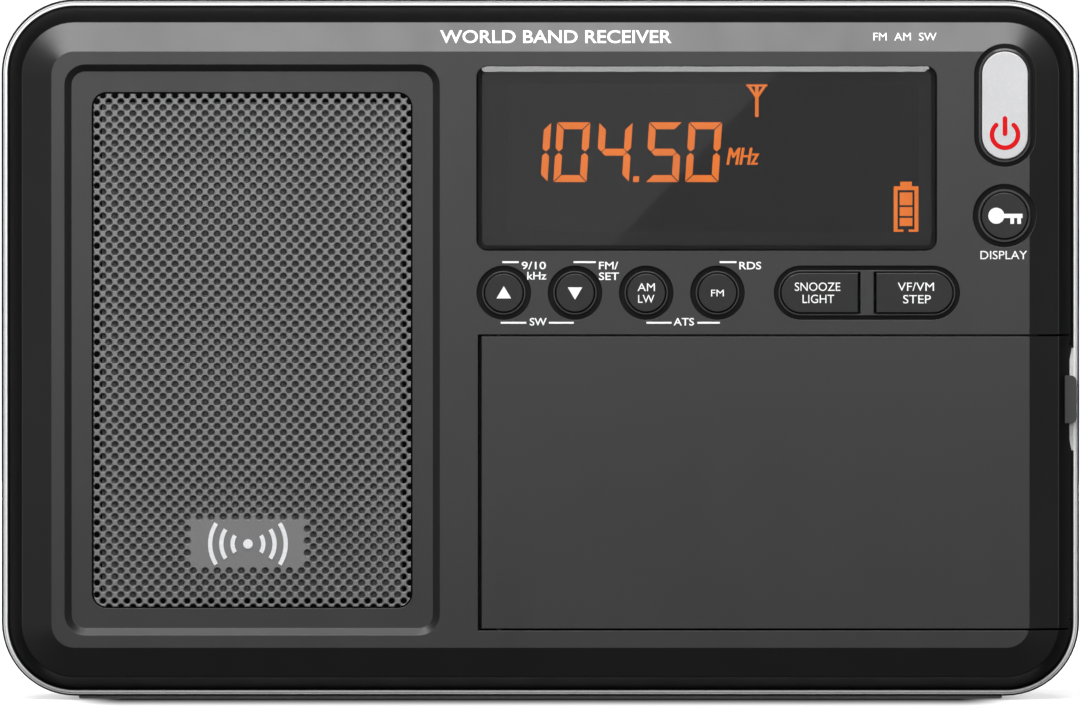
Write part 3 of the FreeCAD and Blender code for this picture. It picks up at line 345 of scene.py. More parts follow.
def circuit_board():
    """Green solder mask over copper tracks that run square to each other."""
    mat, nt, shader = tree("circuit_board")
    at = place(nt)
    cells = nt.nodes.new("ShaderNodeTexVoronoi")
    cells.distance = "MANHATTAN"
    cells.feature = "F2"
    cells.inputs["Scale"].default_value = 1 / (2.2 * MM)
    nt.links.new(at, cells.inputs["Vector"])
    tracks = remap(nt, cells.outputs["Distance"], 0, 1, 0.55, 0.6)
    base = mix(nt, tracks, (0.012, 0.085, 0.035), (0.03, 0.17, 0.07))
    nt.links.new(base, shader.inputs["Base Color"])
    nt.links.new(remap(nt, tracks, 0.3, 0.42, 0, 1), shader.inputs["Roughness"])
    nt.links.new(bump(nt, tracks, 0.4, 0.03 * MM), shader.inputs["Normal"])
    return mat


def windings():
    """Lacquered copper wire wound round the rod, side by side, with painted shade where the turns meet."""
    mat, nt, shader = tree("copper_windings")
    turns = nt.nodes.new("ShaderNodeTexWave")
    turns.bands_direction = "X"
    turns.inputs["Scale"].default_value = 1 / (20 * 0.35 * MM)
    nt.links.new(place(nt), turns.inputs["Vector"])
    # darker in the hollows between the turns: painted shade
    base = mix(nt, turns.outputs["Fac"], (0.25, 0.09, 0.03), (0.75, 0.33, 0.13))
    nt.links.new(base, shader.inputs["Base Color"])
    shader.inputs["Metallic"].default_value = 0.8
    nt.links.new(remap(nt, turns.outputs["Fac"], 0.25, 0.4, 0, 1), shader.inputs["Roughness"])
    nt.links.new(bump(nt, turns.outputs["Fac"], 0.8, 0.15 * MM), shader.inputs["Normal"])
    return mat


def cell_jacket():
    """Printed film round a dry cell: a dark body with a copper-coloured band."""
    mat, nt, shader = tree("cell_jacket")
    at = place(nt)
    split = nt.nodes.new("ShaderNodeSeparateXYZ")
    nt.links.new(at, split.inputs["Vector"])
    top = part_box("battery_cells")[1][2]
    band = remap(nt, split.outputs["Z"], 0, 1, top - 17 * MM, top - 16.9 * MM)
    streak = noise(nt, at, 4 * MM, 2.0)
    first = mix(nt, remap(nt, streak, 0, 1), (0.02, 0.022, 0.028), (0.035, 0.038, 0.045))
    base = mix(nt, band, first, (0.45, 0.2, 0.08))
    nt.links.new(base, shader.inputs["Base Color"])
    shader.inputs["Metallic"].default_value = 0.6
    nt.links.new(remap(nt, streak, 0.24, 0.3), shader.inputs["Roughness"])
    return mat


CHARCOAL = (0.0115, 0.0115, 0.0117)
# The face's plastic, darker and almost without sheen: own colour plus painted shade for the steep band
# round it.
BLACK_AND_SHADE = (0.0046, 0.0046, 0.0047)
CAP = (0.010, 0.010, 0.0102)


def make_materials():
    """Every material by name."""
    made = {
        "charcoal": plastic("charcoal_plastic", CHARCOAL, 0.36),
        "black": plastic("black_plastic", BLACK_AND_SHADE, 0.42, edge=0.05 * MM, spec=0.03),
        "rear": plastic("rear_plastic", (0.017, 0.017, 0.0174), 0.5, 0.35 * MM, 0.5, 0, 0.4),
        "deck": plastic("deck_plastic", (0.03, 0.031, 0.032), 0.45),
        "cap": plastic("key_plastic", CAP, 0.38, 0.12 * MM, 0.2, 0.08 * MM, 0.3),
        "surround": plastic("surround_plastic", (0.003, 0.003, 0.003), 0.5, edge=0.06 * MM, spec=0.12),
        "pale_cap": plastic("pale_key_paint", (0.495, 0.495, 0.505), 0.34, 0.1 * MM, 0.1, 0.1 * MM),
        "tab": plastic("tab_plastic", (0.045, 0.045, 0.046), 0.5, 0.2 * MM, 0.4, spec=0.3),
        "white_plastic": plastic("white_plastic", (0.7, 0.7, 0.68), 0.45),
        "guide": plastic("light_guide", (0.8, 0.78, 0.72), 0.2, depth=0.05),
        "component": plastic("component_body", (0.015, 0.015, 0.016), 0.5),
        "silver": rim_paint_and_shade(),
        "emblem": metal("emblem_metal", (0.72, 0.72, 0.74), 0.3, (0.1, 1, 1), metallic=0.5),
        "grille": metal("grille_metal", (0.17, 0.17, 0.172), 0.40, metallic=0.6, depth=0.1),
        "steel": metal("steel", (0.55, 0.55, 0.56), 0.3),
        "pressed": metal("pressed_steel", (0.4, 0.4, 0.41), 0.35, (1, 1, 0.1)),
        "chrome": metal("chrome", (0.62, 0.62, 0.64), 0.12, (0.05, 1, 1), depth=0.05),
        "ferrite": metal("ferrite", (0.05, 0.05, 0.052), 0.55, metallic=0.1, depth=0.4),
        "magnet": metal("magnet", (0.09, 0.09, 0.095), 0.4, metallic=0.6),
        "cone": plastic("paper_cone", (0.02, 0.02, 0.02), 0.8, 0.3 * MM, 0.9, 0),
        "cloth": woven("dust_cloth", (0.10, 0.10, 0.10)),
        "rubber": rubber("grey_rubber", (0.40, 0.40, 0.40)),
        "strip": rubber("zebra_strip", (0.03, 0.03, 0.03)),
        "dark_steel": metal("dark_steel", (0.02, 0.02, 0.021), 0.5, metallic=0.4),
        "window": clear_window(),
        "lcd": lcd_black(),
        "glow": glowing("segment_orange", (1.0, 0.215, 0.006), 1.72),
        "board": circuit_board(),
        "copper": windings(),
        "jacket": cell_jacket(),
        PRINT_WHITE: printed("print_white", (0.86, 0.86, 0.86)),
        "print_red": printed("print_red", (0.60, 0.001, 0.004), 0.6, 0.15),
        "mask": printed("window_mask", (0.028, 0.028, 0.028), 0.6, 0.05),
    }
    return made


MATERIALS = make_materials()

NODE_LOOKS = {
    "charcoal": ("front_fascia", "door_panel"),
    "black": ("front_case", "door_edge", "volume_wheel", "tuning_wheel"),
    "rear": ("rear_case", "battery_door", "stand"),
    "deck": ("key_deck",),
    "cap": (
        "up_button", "down_button", "am_lw_button", "fm_button", "lock_button", "snooze_light_button",
        "step_button", "world_key", "memory_key", "delete_key", "time_key", "alarm_key", "auto_key",
    ),
    "surround": ("button_surrounds",),
    "pale_cap": ("power_button",),
    "tab": ("door_pull_tab",),
    "white_plastic": ("lcd_frame",),
    "guide": ("lcd_backlight",),
    "component": ("tact_switches", "board_components", "wheel_encoders", "headphone_jack", "power_socket"),
    "silver": ("rim_trim",),
    "grille": ("speaker_grille",),
    "steel": (
        "speaker_screws", "board_screws", "battery_springs", "battery_contacts", "case_screws",
        "antenna_bracket", "antenna_elbow_pin",
    ),
    "dark_steel": ("door_hinge_pins",),
    "pressed": ("speaker_frame",),
    "chrome": ("antenna_knuckle", "antenna_tube_1", "antenna_tube_2", "antenna_tube_3", "antenna_tip"),
    "ferrite": ("ferrite_rod",),
    "magnet": ("speaker_magnet",),
    "cone": ("speaker_cone",),
    "cloth": ("grille_cloth",),
    "rubber": ("foot_strip",),
    "strip": ("lcd_connector",),
    "window": ("display_lens",),
    "lcd": ("lcd_glass",),
    "board": ("main_board",),
    "copper": ("ferrite_coil",),
    "jacket": ("battery_cells",),
}


def dress_nodes():
    """Gives every CAD node its material."""
    for look, names in NODE_LOOKS.items():
        for name in names:
            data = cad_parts[name].data
            data.materials.clear()
            data.materials.append(MATERIALS[look])
            data.polygons.foreach_set("use_smooth", [True] * len(data.polygons))
            data.set_sharp_from_angle(angle=math.radians(28))


# ================================================================ mesh helpers
def add_piece(name, mesh, look, body):
    """A finished mesh as a piece that rides on a body."""
    obj = bpy.data.objects.new(name, mesh)
    bpy.context.scene.collection.objects.link(obj)
    mesh.materials.clear()
    mesh.materials.append(MATERIALS[look])
    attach(obj, body)
    return obj


def prism_mesh(name, outlines, matrix, thick=PRINT_THICK):
    """Flat shapes with a little thickness. Outlines are X, Z before matrix; the front faces -Y."""
    verts = []
    faces = []
    for outline in outlines:
        count = len(outline)
        area = sum(a[0] * b[1] - b[0] * a[1] for a, b in zip(outline, outline[1:] + outline[:1]))
        points = outline if area > 0 else outline[::-1]
        first = len(verts)
        verts += [matrix @ Vector((x, -thick, z)) for x, z in points]
        verts += [matrix @ Vector((x, 0, z)) for x, z in points]
        faces.append([first + n for n in range(count)])
        faces.append([first + count + n for n in reversed(range(count))])
        for n in range(count):
            after = (n + 1) % count
            faces.append([first + after, first + n, first + count + n, first + count + after])
    mesh = bpy.data.meshes.new(name)
    mesh.from_pydata(verts, [], faces)
    mesh.validate()
    return mesh


def at_point(x, y, z):
    return Matrix.Translation((x, y, z))


def text_mesh(name, words, matrix, height, width=None, weight=0.0, slant=0.0):
    """Lettering centred on matrix's origin, height tall in capitals and fitted to width, facing -Y."""
    curve = bpy.data.curves.new(name, "FONT")
    curve.body = words
    curve.size = 1.0
    curve.offset = weight
    curve.shear = slant
    curve.extrude = 0.5
    curve.resolution_u = 4
    holder = bpy.data.objects.new(name, curve)
    bpy.context.scene.collection.objects.link(holder)
    bpy.context.view_layer.update()
    mesh = bpy.data.meshes.new_from_object(holder.evaluated_get(bpy.context.evaluated_depsgraph_get()))
    bpy.data.objects.remove(holder)
    xs = [v.co.x for v in mesh.vertices]
    ys = [v.co.y for v in mesh.vertices]
    middle = Vector(((min(xs) + max(xs)) / 2, (min(ys) + max(ys)) / 2, 0))
    tall = height / (max(ys) - min(ys))
    wide = width / (max(xs) - min(xs)) if width else tall
    turn = Matrix.Rotation(math.radians(90), 4, "X")
    size = Matrix.Diagonal((wide, tall, PRINT_THICK, 1))
    back = Matrix.Translation((0, -PRINT_THICK / 2, 0))
    mesh.transform(matrix @ back @ turn @ size @ Matrix.Translation(-middle))
    mesh.name = name
    return mesh


def merge(name, meshes):
    """Several meshes as one."""
    bm = bmesh.new()
    for mesh in meshes:
        bm.from_mesh(mesh)
        bpy.data.meshes.remove(mesh)
    whole = bpy.data.meshes.new(name)
    bm.to_mesh(whole)
    bm.free()
    return whole


def bar(x0, x1, z0, z1):
    return [(x0, z0), (x1, z0), (x1, z1), (x0, z1)]


def arc(x, z, r, start, end, steps=24):
    """Points on an arc, in degrees counted from +X towards +Z."""
    angles = [math.radians(start + (end - start) * n / steps) for n in range(steps + 1)]
    return [(x + r * math.cos(a), z + r * math.sin(a)) for a in angles]


def ring_part(x, z, r, stroke, start, end, steps=28):
    """Outlines of a stroked arc with round ends."""
    outer = arc(x, z, r + stroke / 2, start, end, steps)
    inner = arc(x, z, r - stroke / 2, end, start, steps)
    strip = []
    for n in range(steps):
        strip.append([outer[n], outer[n + 1], inner[steps - n - 1], inner[steps - n]])
    return strip


def in_mm(outlines):
    return [[(x * MM, z * MM) for x, z in outline] for outline in outlines]


def centre(node):
    low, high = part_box(node)
    return [(a + b) / 2 for a, b in zip(low, high)]


def front_of(node):
    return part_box(node)[0][1]


# ================================================================ speaker grille
def diamond_corners(x, z):
    half = HOLE_STEP / 2
    return [(x + half, z), (x, z + half), (x - half, z), (x, z - half)]


def perforated_sheet():
    """Metal sheet with a rolled rim round every hole, cut to a rounded rectangle."""
    low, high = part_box("speaker_grille")
    front = low[1]
    back = front + SHEET_THICK
    bm = bmesh.new()
    shared = {}

    def vertex(x, y, z):
        key = (round(x * 1e7), round(y * 1e7), round(z * 1e7))
        if key not in shared:
            shared[key] = bm.verts.new((x, y, z))
        return shared[key]

    def ring(x, z, r, y):
        turns = [2 * math.pi * n / HOLE_SIDES for n in range(HOLE_SIDES)]
        return [vertex(x + r * math.cos(t), y, z + r * math.sin(t)) for t in turns]

    def web(x, z, circle, y, flip):
        corners = [vertex(cx, y, cz) for cx, cz in diamond_corners(x, z)]
        quarter = HOLE_SIDES // 4
        for q in range(4):
            side = [circle[(q * quarter + n) % HOLE_SIDES] for n in range(quarter + 1)]
            here, there = corners[q], corners[(q + 1) % 4]
            faces = ([here, side[1], side[0]], [here, there, side[2], side[1]], [there, side[3], side[2]])
            for face in faces:
                bm.faces.new(face[::-1] if flip else face)

    rows = int((high[2] - low[2]) / (HOLE_STEP / 2)) + 4
    columns = int((high[0] - low[0]) / HOLE_STEP) + 3
    px0, px1, pz0, pz1 = EMBLEM_PATCH
    for row in range(-3, rows):
        for column in range(-2, columns):
            x = FIRST_HOLE[0] + (column + 0.5 * (row % 2)) * HOLE_STEP
            z = FIRST_HOLE[1] + row * HOLE_STEP / 2
            solid = px0 < x < px1 and pz0 < z < pz1
            x += low[0]
            z += low[2]
            if solid:
                for y, flip in ((front, True), (back, False)):
                    face = [vertex(cx, y, cz) for cx, cz in diamond_corners(x, z)]
                    bm.faces.new(face[::-1] if not flip else face)
                continue
            rim = ring(x, z, HOLE_R + HOLE_RIM, front)
            lip = ring(x, z, HOLE_R, front + HOLE_RIM)
            end = ring(x, z, HOLE_R, back)
            web(x, z, rim, front, True)
            web(x, z, end, back, False)
            for first, second in ((rim, lip), (lip, end)):
                for n in range(HOLE_SIDES):
                    after = (n + 1) % HOLE_SIDES
                    bm.faces.new((first[n], first[after], second[after], second[n]))
    trim_to_rounded(bm, low, high, SHEET_CORNER_R)
    bmesh.ops.recalc_face_normals(bm, faces=bm.faces)
    mesh = bpy.data.meshes.new("grille_sheet")
    bm.to_mesh(mesh)
    bm.free()
    piece = add_piece("grille_sheet", mesh, "grille", BODY)
    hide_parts("speaker_grille")


def trim_to_rounded(bm, low, high, r, steps=5):
    """Cuts away all that is outside a rounded rectangle, by straight cuts, and closes each one."""
    middle = ((low[0] + high[0]) / 2, (low[2] + high[2]) / 2)
    half = ((high[0] - low[0]) / 2, (high[2] - low[2]) / 2)
    for quarter in range(4):
        sx = 1 if quarter in (0, 3) else -1
        sz = 1 if quarter in (0, 1) else -1
        hub = (middle[0] + sx * (half[0] - r), middle[1] + sz * (half[1] - r))
        for n in range(steps + 1):
            angle = math.radians(90 * (quarter + n / steps))
            out = Vector((math.cos(angle), 0, math.sin(angle)))
            touch = Vector((hub[0], 0, hub[1])) + out * r
            everything = list(bm.verts) + list(bm.edges) + list(bm.faces)
            bmesh.ops.bisect_plane(bm, geom=everything, plane_co=touch, plane_no=out, clear_outer=True)
            open_edges = [
                e for e in bm.edges
                if e.is_boundary and all(abs((v.co - touch).dot(out)) < 1e-7 for v in e.verts)
            ]
            bmesh.ops.holes_fill(bm, edges=open_edges, sides=0)


def emblem():
    """Plain emblem on the smooth patch of the grille: a dot between waves."""
    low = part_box("speaker_grille")[0]
    px0, px1, pz0, pz1 = EMBLEM_PATCH
    x = low[0] + (px0 + px1) / 2
    z = low[2] + (pz0 + pz1) / 2
    shapes = [arc(0, 0, 0.62, 0, 345, 23)]
    for n in range(3):
        radius = 2.0 + 1.45 * n
        for side in (0, 180):
            shapes += ring_part(0, 0, radius, 0.55, side - 33, side + 33, 18)
    mesh = prism_mesh("emblem", in_mm(shapes), at_point(x, low[1], z), 0.12 * MM)
    add_piece("grille_emblem", mesh, "emblem", BODY)


# ================================================================ joint of the case, with its painted shade
def rounded_outline(low, high, step_in, r):
    """Points round a rounded rectangle that lies step_in inside a box, seen from the front."""
    r -= step_in
    x0, x1 = low[0] + step_in + r, high[0] - step_in - r
    z0, z1 = low[2] + step_in + r, high[2] - step_in - r
    corners = ((x1, z1, 0), (x0, z1, 90), (x0, z0, 180), (x1, z0, 270))
    return [point for x, z, start in corners for point in arc(x, z, r, start, start + 90, 16)]


def joint_shade_lip():
    """Thin black lip over the joint between the rim and the rear case: painted shade for the shadowed gap
    there, in the case's black plastic.
    """
    near, far, depth = JOINT_LIP
    low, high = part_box("rear_case")
    outer = rounded_outline(low, high, near, CASE_CORNER_R)
    inner = rounded_outline(low, high, far, CASE_CORNER_R)
    strip = []
    for n in range(len(outer)):
        after = (n + 1) % len(outer)
        strip.append([outer[n], outer[after], inner[after], inner[n]])
    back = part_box("rim_trim")[1][1]
    mesh = prism_mesh("joint_shade_lip", strip, at_point(0, back, 0), depth)
    add_piece("joint_shade_lip", mesh, "black", BODY)


# ================================================================ display figures
SEGMENTS = {
    "0": "abcdef", "1": "bc", "4": "bcfg", "5": "acdfg",
}


def segment_outline(which, w, h, s):
    """One bar of a figure, w by h, with mitred ends that leave a hairline gap."""
    g = FIGURE_GAP
    m = h / 2
    k = s / 2
    shapes = {
        "a": [(g, h), (w - g, h), (w - g - s, h - s), (g + s, h - s)],
        "d": [(g, 0), (g + s, s), (w - g - s, s), (w - g, 0)],
        "f": [(0, h - g), (s, h - g - s), (s, m + k), (k, m + g), (0, m + g + k)],
        "e": [(0, g), (s, g + s), (s, m - k), (k, m - g), (0, m - g - k)],
        "b": [(w, h - g), (w - s, h - g - s), (w - s, m + k), (w - k, m + g), (w, m + g + k)],
        "c": [(w, g), (w - s, g + s), (w - s, m - k), (w - k, m - g), (w, m - g - k)],
        "g": [
            (k + g, m), (s + g, m + k), (w - s - g, m + k),
            (w - k - g, m), (w - s - g, m - k), (s + g, m - k),
        ],
    }
    return shapes[which]


def slanted(outline, x, z):
    return [(x + px + pz * FIGURE_SLANT, z + pz) for px, pz in outline]


def display_figures():
    """Frequency, point, unit and two signs, all lit from behind."""
    w, h = FIGURE_SIZE
    shapes = []
    for figure, left in FIGURES:
        for which in SEGMENTS[figure]:
            shapes.append(slanted(segment_outline(which, w, h, FIGURE_STROKE), left, FIGURE_BOTTOM))
    shapes.append(slanted(bar(0, 0.75, 0, 0.75), 12.0, FIGURE_BOTTOM))
    shapes += aerial_sign(28.05, 75.7, 79.9)
    shapes += battery_sign(45.8, 49.0, 60.6, 66.7)
    y = front_of("lcd_glass") - 0.01 * MM
    figures = prism_mesh("figures", in_mm(shapes), at_point(0, y, 0))
    meshes = [figures]
    for shift in (-UNIT_BOLDER, 0.0, UNIT_BOLDER):
        unit = at_point((26.25 + shift) * MM, y - abs(shift) * 0.02 * MM, 70.6 * MM)
        meshes.append(text_mesh("unit", "MHz", unit, 2.2 * MM, 4.15 * MM, 0.0, 0.25))
    add_piece("display_figures", merge("display_figures", meshes), "glow", BODY)


def display_mask():
    """Black print on the back of the window, round the opening for the liquid crystal."""
    low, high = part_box("display_lens")
    x0, x1, z0, z1 = [v / MM for v in (low[0], high[0], low[2], high[2])]
    glass_low, glass_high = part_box("lcd_glass")
    gx0, gx1, gz0, gz1 = [v / MM for v in (glass_low[0], glass_high[0], glass_low[2], glass_high[2])]
    gx0, gx1, gz0, gz1 = gx0 + MASK_LIP, gx1 - MASK_LIP, gz0 + MASK_LIP, gz1 - MASK_LIP
    x0, x1, z0, z1 = x0 + MASK_LIP, x1 - MASK_LIP, z0 + MASK_LIP, z1 - MASK_LIP
    shapes = [bar(x0, gx0, z0, z1), bar(gx1, x1, z0, z1), bar(gx0, gx1, z0, gz0), bar(gx0, gx1, gz1, z1)]
    mesh = prism_mesh("mask", in_mm(shapes), at_point(0, high[1] - PRINT_THICK, 0))
    add_piece("display_mask", mesh, "mask", BODY)


def aerial_sign(x, z0, z1):
    """Open triangle on a stem."""
    half = 1.37
    low = z1 - 1.65
    line = 0.26
    left = [(x - half, z1), (x - half + 0.42, z1), (x + 0.1, low + 0.1), (x - 0.1, low - 0.2)]
    right = [(x + half, z1), (x + half - 0.42, z1), (x - 0.1, low + 0.1), (x + 0.1, low - 0.2)]
    top = bar(x - half, x + half, z1 - line, z1)
    stem = bar(x - 0.22, x + 0.22, z0, z1 - line)
    return [left, right, top, stem]


def battery_sign(x0, x1, z0, z1):
    """Outline of a cell with three charge bars."""
    wall = 0.5
    middle = (x0 + x1) / 2
    shapes = [bar(x0, x0 + wall, z0, z1), bar(x1 - wall, x1, z0, z1), bar(x0, x1, z1 - wall, z1)]
    shapes += [bar(x0, middle - 0.35, z0, z0 + wall), bar(middle + 0.35, x1, z0, z0 + wall)]
    shapes.append(bar(middle - 0.75, middle + 0.75, z1, z1 + 0.6))
    for low, high in ((z0 + 0.95, z0 + 2.0), (z0 + 2.25, z0 + 3.4), (z0 + 3.65, z0 + 5.3)):
        shapes.append(bar(x0 + wall + 0.28, x1 - wall - 0.28, low, high))
    return shapes


# ================================================================ printed legends
def legend(words, x, z, height, width=None, weight=0.0, y=None):
    """One word on a surface that faces the front; x, z and sizes in millimetres."""
    level = front_of("door_panel") if y is None else y
    where = at_point(x * MM, level, z * MM)
    size = width * MM if width else None
    return text_mesh("legend", words, where, height * MM, size, weight)


def face_legends():
    """White print on the face round the keys."""
    face = front_of("door_panel")
    row_keys = ("up_button", "down_button", "am_lw_button", "fm_button")
    up, down, am, fm = [centre(node)[0] / MM for node in row_keys]
    row = centre("up_button")[2] / MM
    lock = centre("lock_button")
    bold = 0.012
    meshes = [
        legend("9/10", up + 3.88, row + 3.54, 1.0, 3.16, bold),
        legend("kHz", up + 4.28, row + 2.22, 1.0, 2.5, bold),
        legend("FM/", down + 4.35, row + 3.54, 1.0, 2.5, bold),
        legend("SET", down + 4.39, row + 2.15, 1.0, 2.6, bold),
        legend("RDS", fm + 4.25, row + 3.53, 1.0, 2.85, bold),
        legend("SW", up + 4.46, row - 3.75, 1.0, 2.2, bold),
        legend("ATS", am + 4.87, row - 3.75, 1.0, 2.65, bold),
        legend("DISPLAY", lock[0] / MM - 0.1, lock[2] / MM - 5.1, 1.09, 6.05),
    ]
    lines = []
    for x, spans, dz in (
        (up, ((-0.19, 1.93),), 3.98), (down, ((-0.19, 2.69),), 3.98), (fm, ((0.3, 2.47),), 3.98),
        (up, ((-0.4, 2.91), (5.83, 9.06)), -3.88), (am, ((0.03, 3.27), (6.63, 9.55)), -3.88),
    ):
        lines += [bar(x + a, x + b, row + dz - 0.12, row + dz + 0.12) for a, b in spans]
    meshes.append(prism_mesh("lines", in_mm(lines), at_point(0, face, 0)))
    add_piece("face_legends", merge("face_legends", meshes), PRINT_WHITE, BODY)


def bevel_legends():
    """Words on the sloped edge above the display."""
    low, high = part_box("front_fascia")
    rise = Vector((0, BEVEL_DEPTH, BEVEL_HEIGHT)).normalized()
    inwards = Vector((0, BEVEL_HEIGHT, -BEVEL_DEPTH)).normalized()
    turn = Matrix((Vector((1, 0, 0)), inwards, rise)).transposed().to_4x4()
    meshes = []
    for words, x, height, width, weight in (
        ("WORLD BAND RECEIVER", 2.0, 1.9, 30.0, 0.012), ("FM  AM  SW", 47.25, 1.15, 8.2, 0.0),
    ):
        middle = Vector((x * MM, (low[1] + high[1]) / 2, high[2] - BEVEL_HEIGHT / 2))
        where = Matrix.Translation(middle) @ turn
        meshes.append(text_mesh("legend", words, where, height * MM, width * MM, weight))
    add_piece("bevel_legends", merge("bevel_legends", meshes), PRINT_WHITE, BODY)


def key_legends():
    """White print on the front keys. It moves with each key."""
    words = {
        "am_lw_button": (("AM", 0.0, 0.74, 1.02, 2.25), ("LW", 0.0, -0.78, 1.02, 2.1)),
        "fm_button": (("FM", 0.0, -0.02, 0.86, 1.65),),
        "snooze_light_button": (("SNOOZE", 0.0, 0.80, 1.1, 5.9), ("LIGHT", 0.1, -0.78, 1.1, 4.1)),
        "step_button": (("VF/VM", -0.1, 0.80, 1.1, 4.7), ("STEP", 0.05, -0.82, 1.1, 3.6)),
    }
    for node, lines in words.items():
        x, _, z = centre(node)
        front = front_of(node)
        meshes = [legend(text, x / MM + dx, z / MM + dz, h, w, 0.0, front) for text, dx, dz, h, w in lines]
        add_piece(node + "_legend", merge(node, meshes), PRINT_WHITE, node)
    for node, way in (("up_button", 1), ("down_button", -1)):
        x, _, z = centre(node)
        shape = [[(-0.94, -0.72 * way), (0.94, -0.72 * way), (0, 0.88 * way)]]
        mesh = prism_mesh("arrow", in_mm(shape), at_point(x, front_of(node), z))
        add_piece(node + "_legend", mesh, PRINT_WHITE, node)


def power_sign():
    """Red standby sign in the lower half of the power key."""
    x, _, z = centre("power_button")
    r, stroke, start, end = 1.69, 0.6, 132, 408
    shapes = ring_part(0, 0, r, stroke, start, end)
    for angle, turn in ((start, 180), (end, 0)):
        cx, cz = arc(0, 0, r, angle, angle, 1)[0]
        shapes.append(arc(cx, cz, stroke / 2, angle + turn, angle + turn + 180, 12))
    shapes.append(arc(0, 2.1, 0.31, 0, 180, 12) + arc(0, 0.15, 0.31, 180, 360, 12))
    where = at_point(x, front_of("power_button"), z - 3.8 * MM)
    mesh = prism_mesh("power_sign", in_mm(shapes), where)
    add_piece("power_sign", mesh, "print_red", "power_button")


def key_sign():
    """White key on the lock button: a round bow, a shaft and two teeth."""
    x, _, z = centre("lock_button")
    low, top, end, tip = -0.29, 0.25, 2.32, -1.05
    outline = arc(-1.07, 0, 1.04, 13.9, 343.8, 34)
    for tooth in (0.75, 1.65):
        outline += [(tooth, low), (tooth, tip), (tooth + 0.47, tip), (tooth + 0.47, low)]
    outline += [(end, low), (end, top)]
    where = at_point(x, front_of("lock_button"), z)
    mesh = prism_mesh("key_sign", in_mm([outline]), where)
    add_piece("key_sign", mesh, PRINT_WHITE, "lock_button")


def deck_legends():
    """Print on the deck under each small key, seen with the door open."""
    deck = front_of("key_deck")
    meshes = []
    for node in ("world_key", "memory_key", "delete_key", "time_key", "alarm_key", "auto_key"):
        x, _, z = centre(node)
        words = node.replace("_key", "").upper()
        meshes.append(legend(words, x / MM, z / MM - 4.6, 1.25, None, 0.0, deck))
    add_piece("deck_legends", merge("deck_legends", meshes), PRINT_WHITE, BODY)


# ================================================================ studio
CAMERA_LENS = 1000.0
CAMERA_UP = 1.0  # degrees above level
VIEW_WIDTH = 140.1 * MM  # what the picture takes in, across
VIEW_CENTRE = (-0.06 * MM, -11.0 * MM, 44.92 * MM)


def camera():
    data = bpy.data.cameras.new("camera")
    data.lens = CAMERA_LENS
    data.sensor_width = 36.0
    data.clip_end = 50.0
    obj = bpy.data.objects.new("camera", data)
    bpy.context.scene.collection.objects.link(obj)
    distance = VIEW_WIDTH * CAMERA_LENS / data.sensor_width
    up = math.radians(CAMERA_UP)
    obj.location = Vector(VIEW_CENTRE) + distance * Vector((0, -math.cos(up), math.sin(up)))
    obj.rotation_euler = (math.radians(90) - up, 0, 0)
    bpy.context.scene.camera = obj
    return obj


def panel_light(name, place_at, aim, size, radiance):
    """Soft box of that size whose surface has that brightness."""
    data = bpy.data.lights.new(name, "AREA")
    data.shape = "RECTANGLE"
    data.size, data.size_y = size
    data.energy = radiance * math.pi * size[0] * size[1]
    obj = bpy.data.objects.new(name, data)
    bpy.context.scene.collection.objects.link(obj)
    way = (Vector(aim) - Vector(place_at)).normalized()
    turn = way.to_track_quat("-Z", "Y").to_matrix().to_4x4()
    obj.matrix_world = Matrix.Translation(place_at) @ turn
    obj.visible_camera = False


def flag(name, eye, outline, depth, radiance):
    """Dim card that the display window mirrors. Its outline is given as X, Z on the window."""
    window = front_of("display_lens")
    points = []
    for x, z in outline:
        on_window = Vector((x * MM, window, z * MM))
        ray = on_window - eye
        ray.y = -ray.y
        points.append(on_window + ray * (depth / -ray.y))
    mesh = bpy.data.meshes.new(name)
    mesh.from_pydata(points, [], [range(len(points))])
    obj = bpy.data.objects.new(name, mesh)
    bpy.context.scene.collection.objects.link(obj)
    mat, nt, shader = tree(name)
    grain = noise(nt, place(nt), 30 * MM, 2.0)
    shader.inputs["Base Color"].default_value = (0, 0, 0, 1)
    shader.inputs["Emission Color"].default_value = (1, 1, 1, 1)
    nt.links.new(remap(nt, grain, radiance * 0.97, radiance * 1.03), shader.inputs["Emission Strength"])
    mesh.materials.append(mat)
    obj.visible_camera = False
    obj.visible_shadow = False


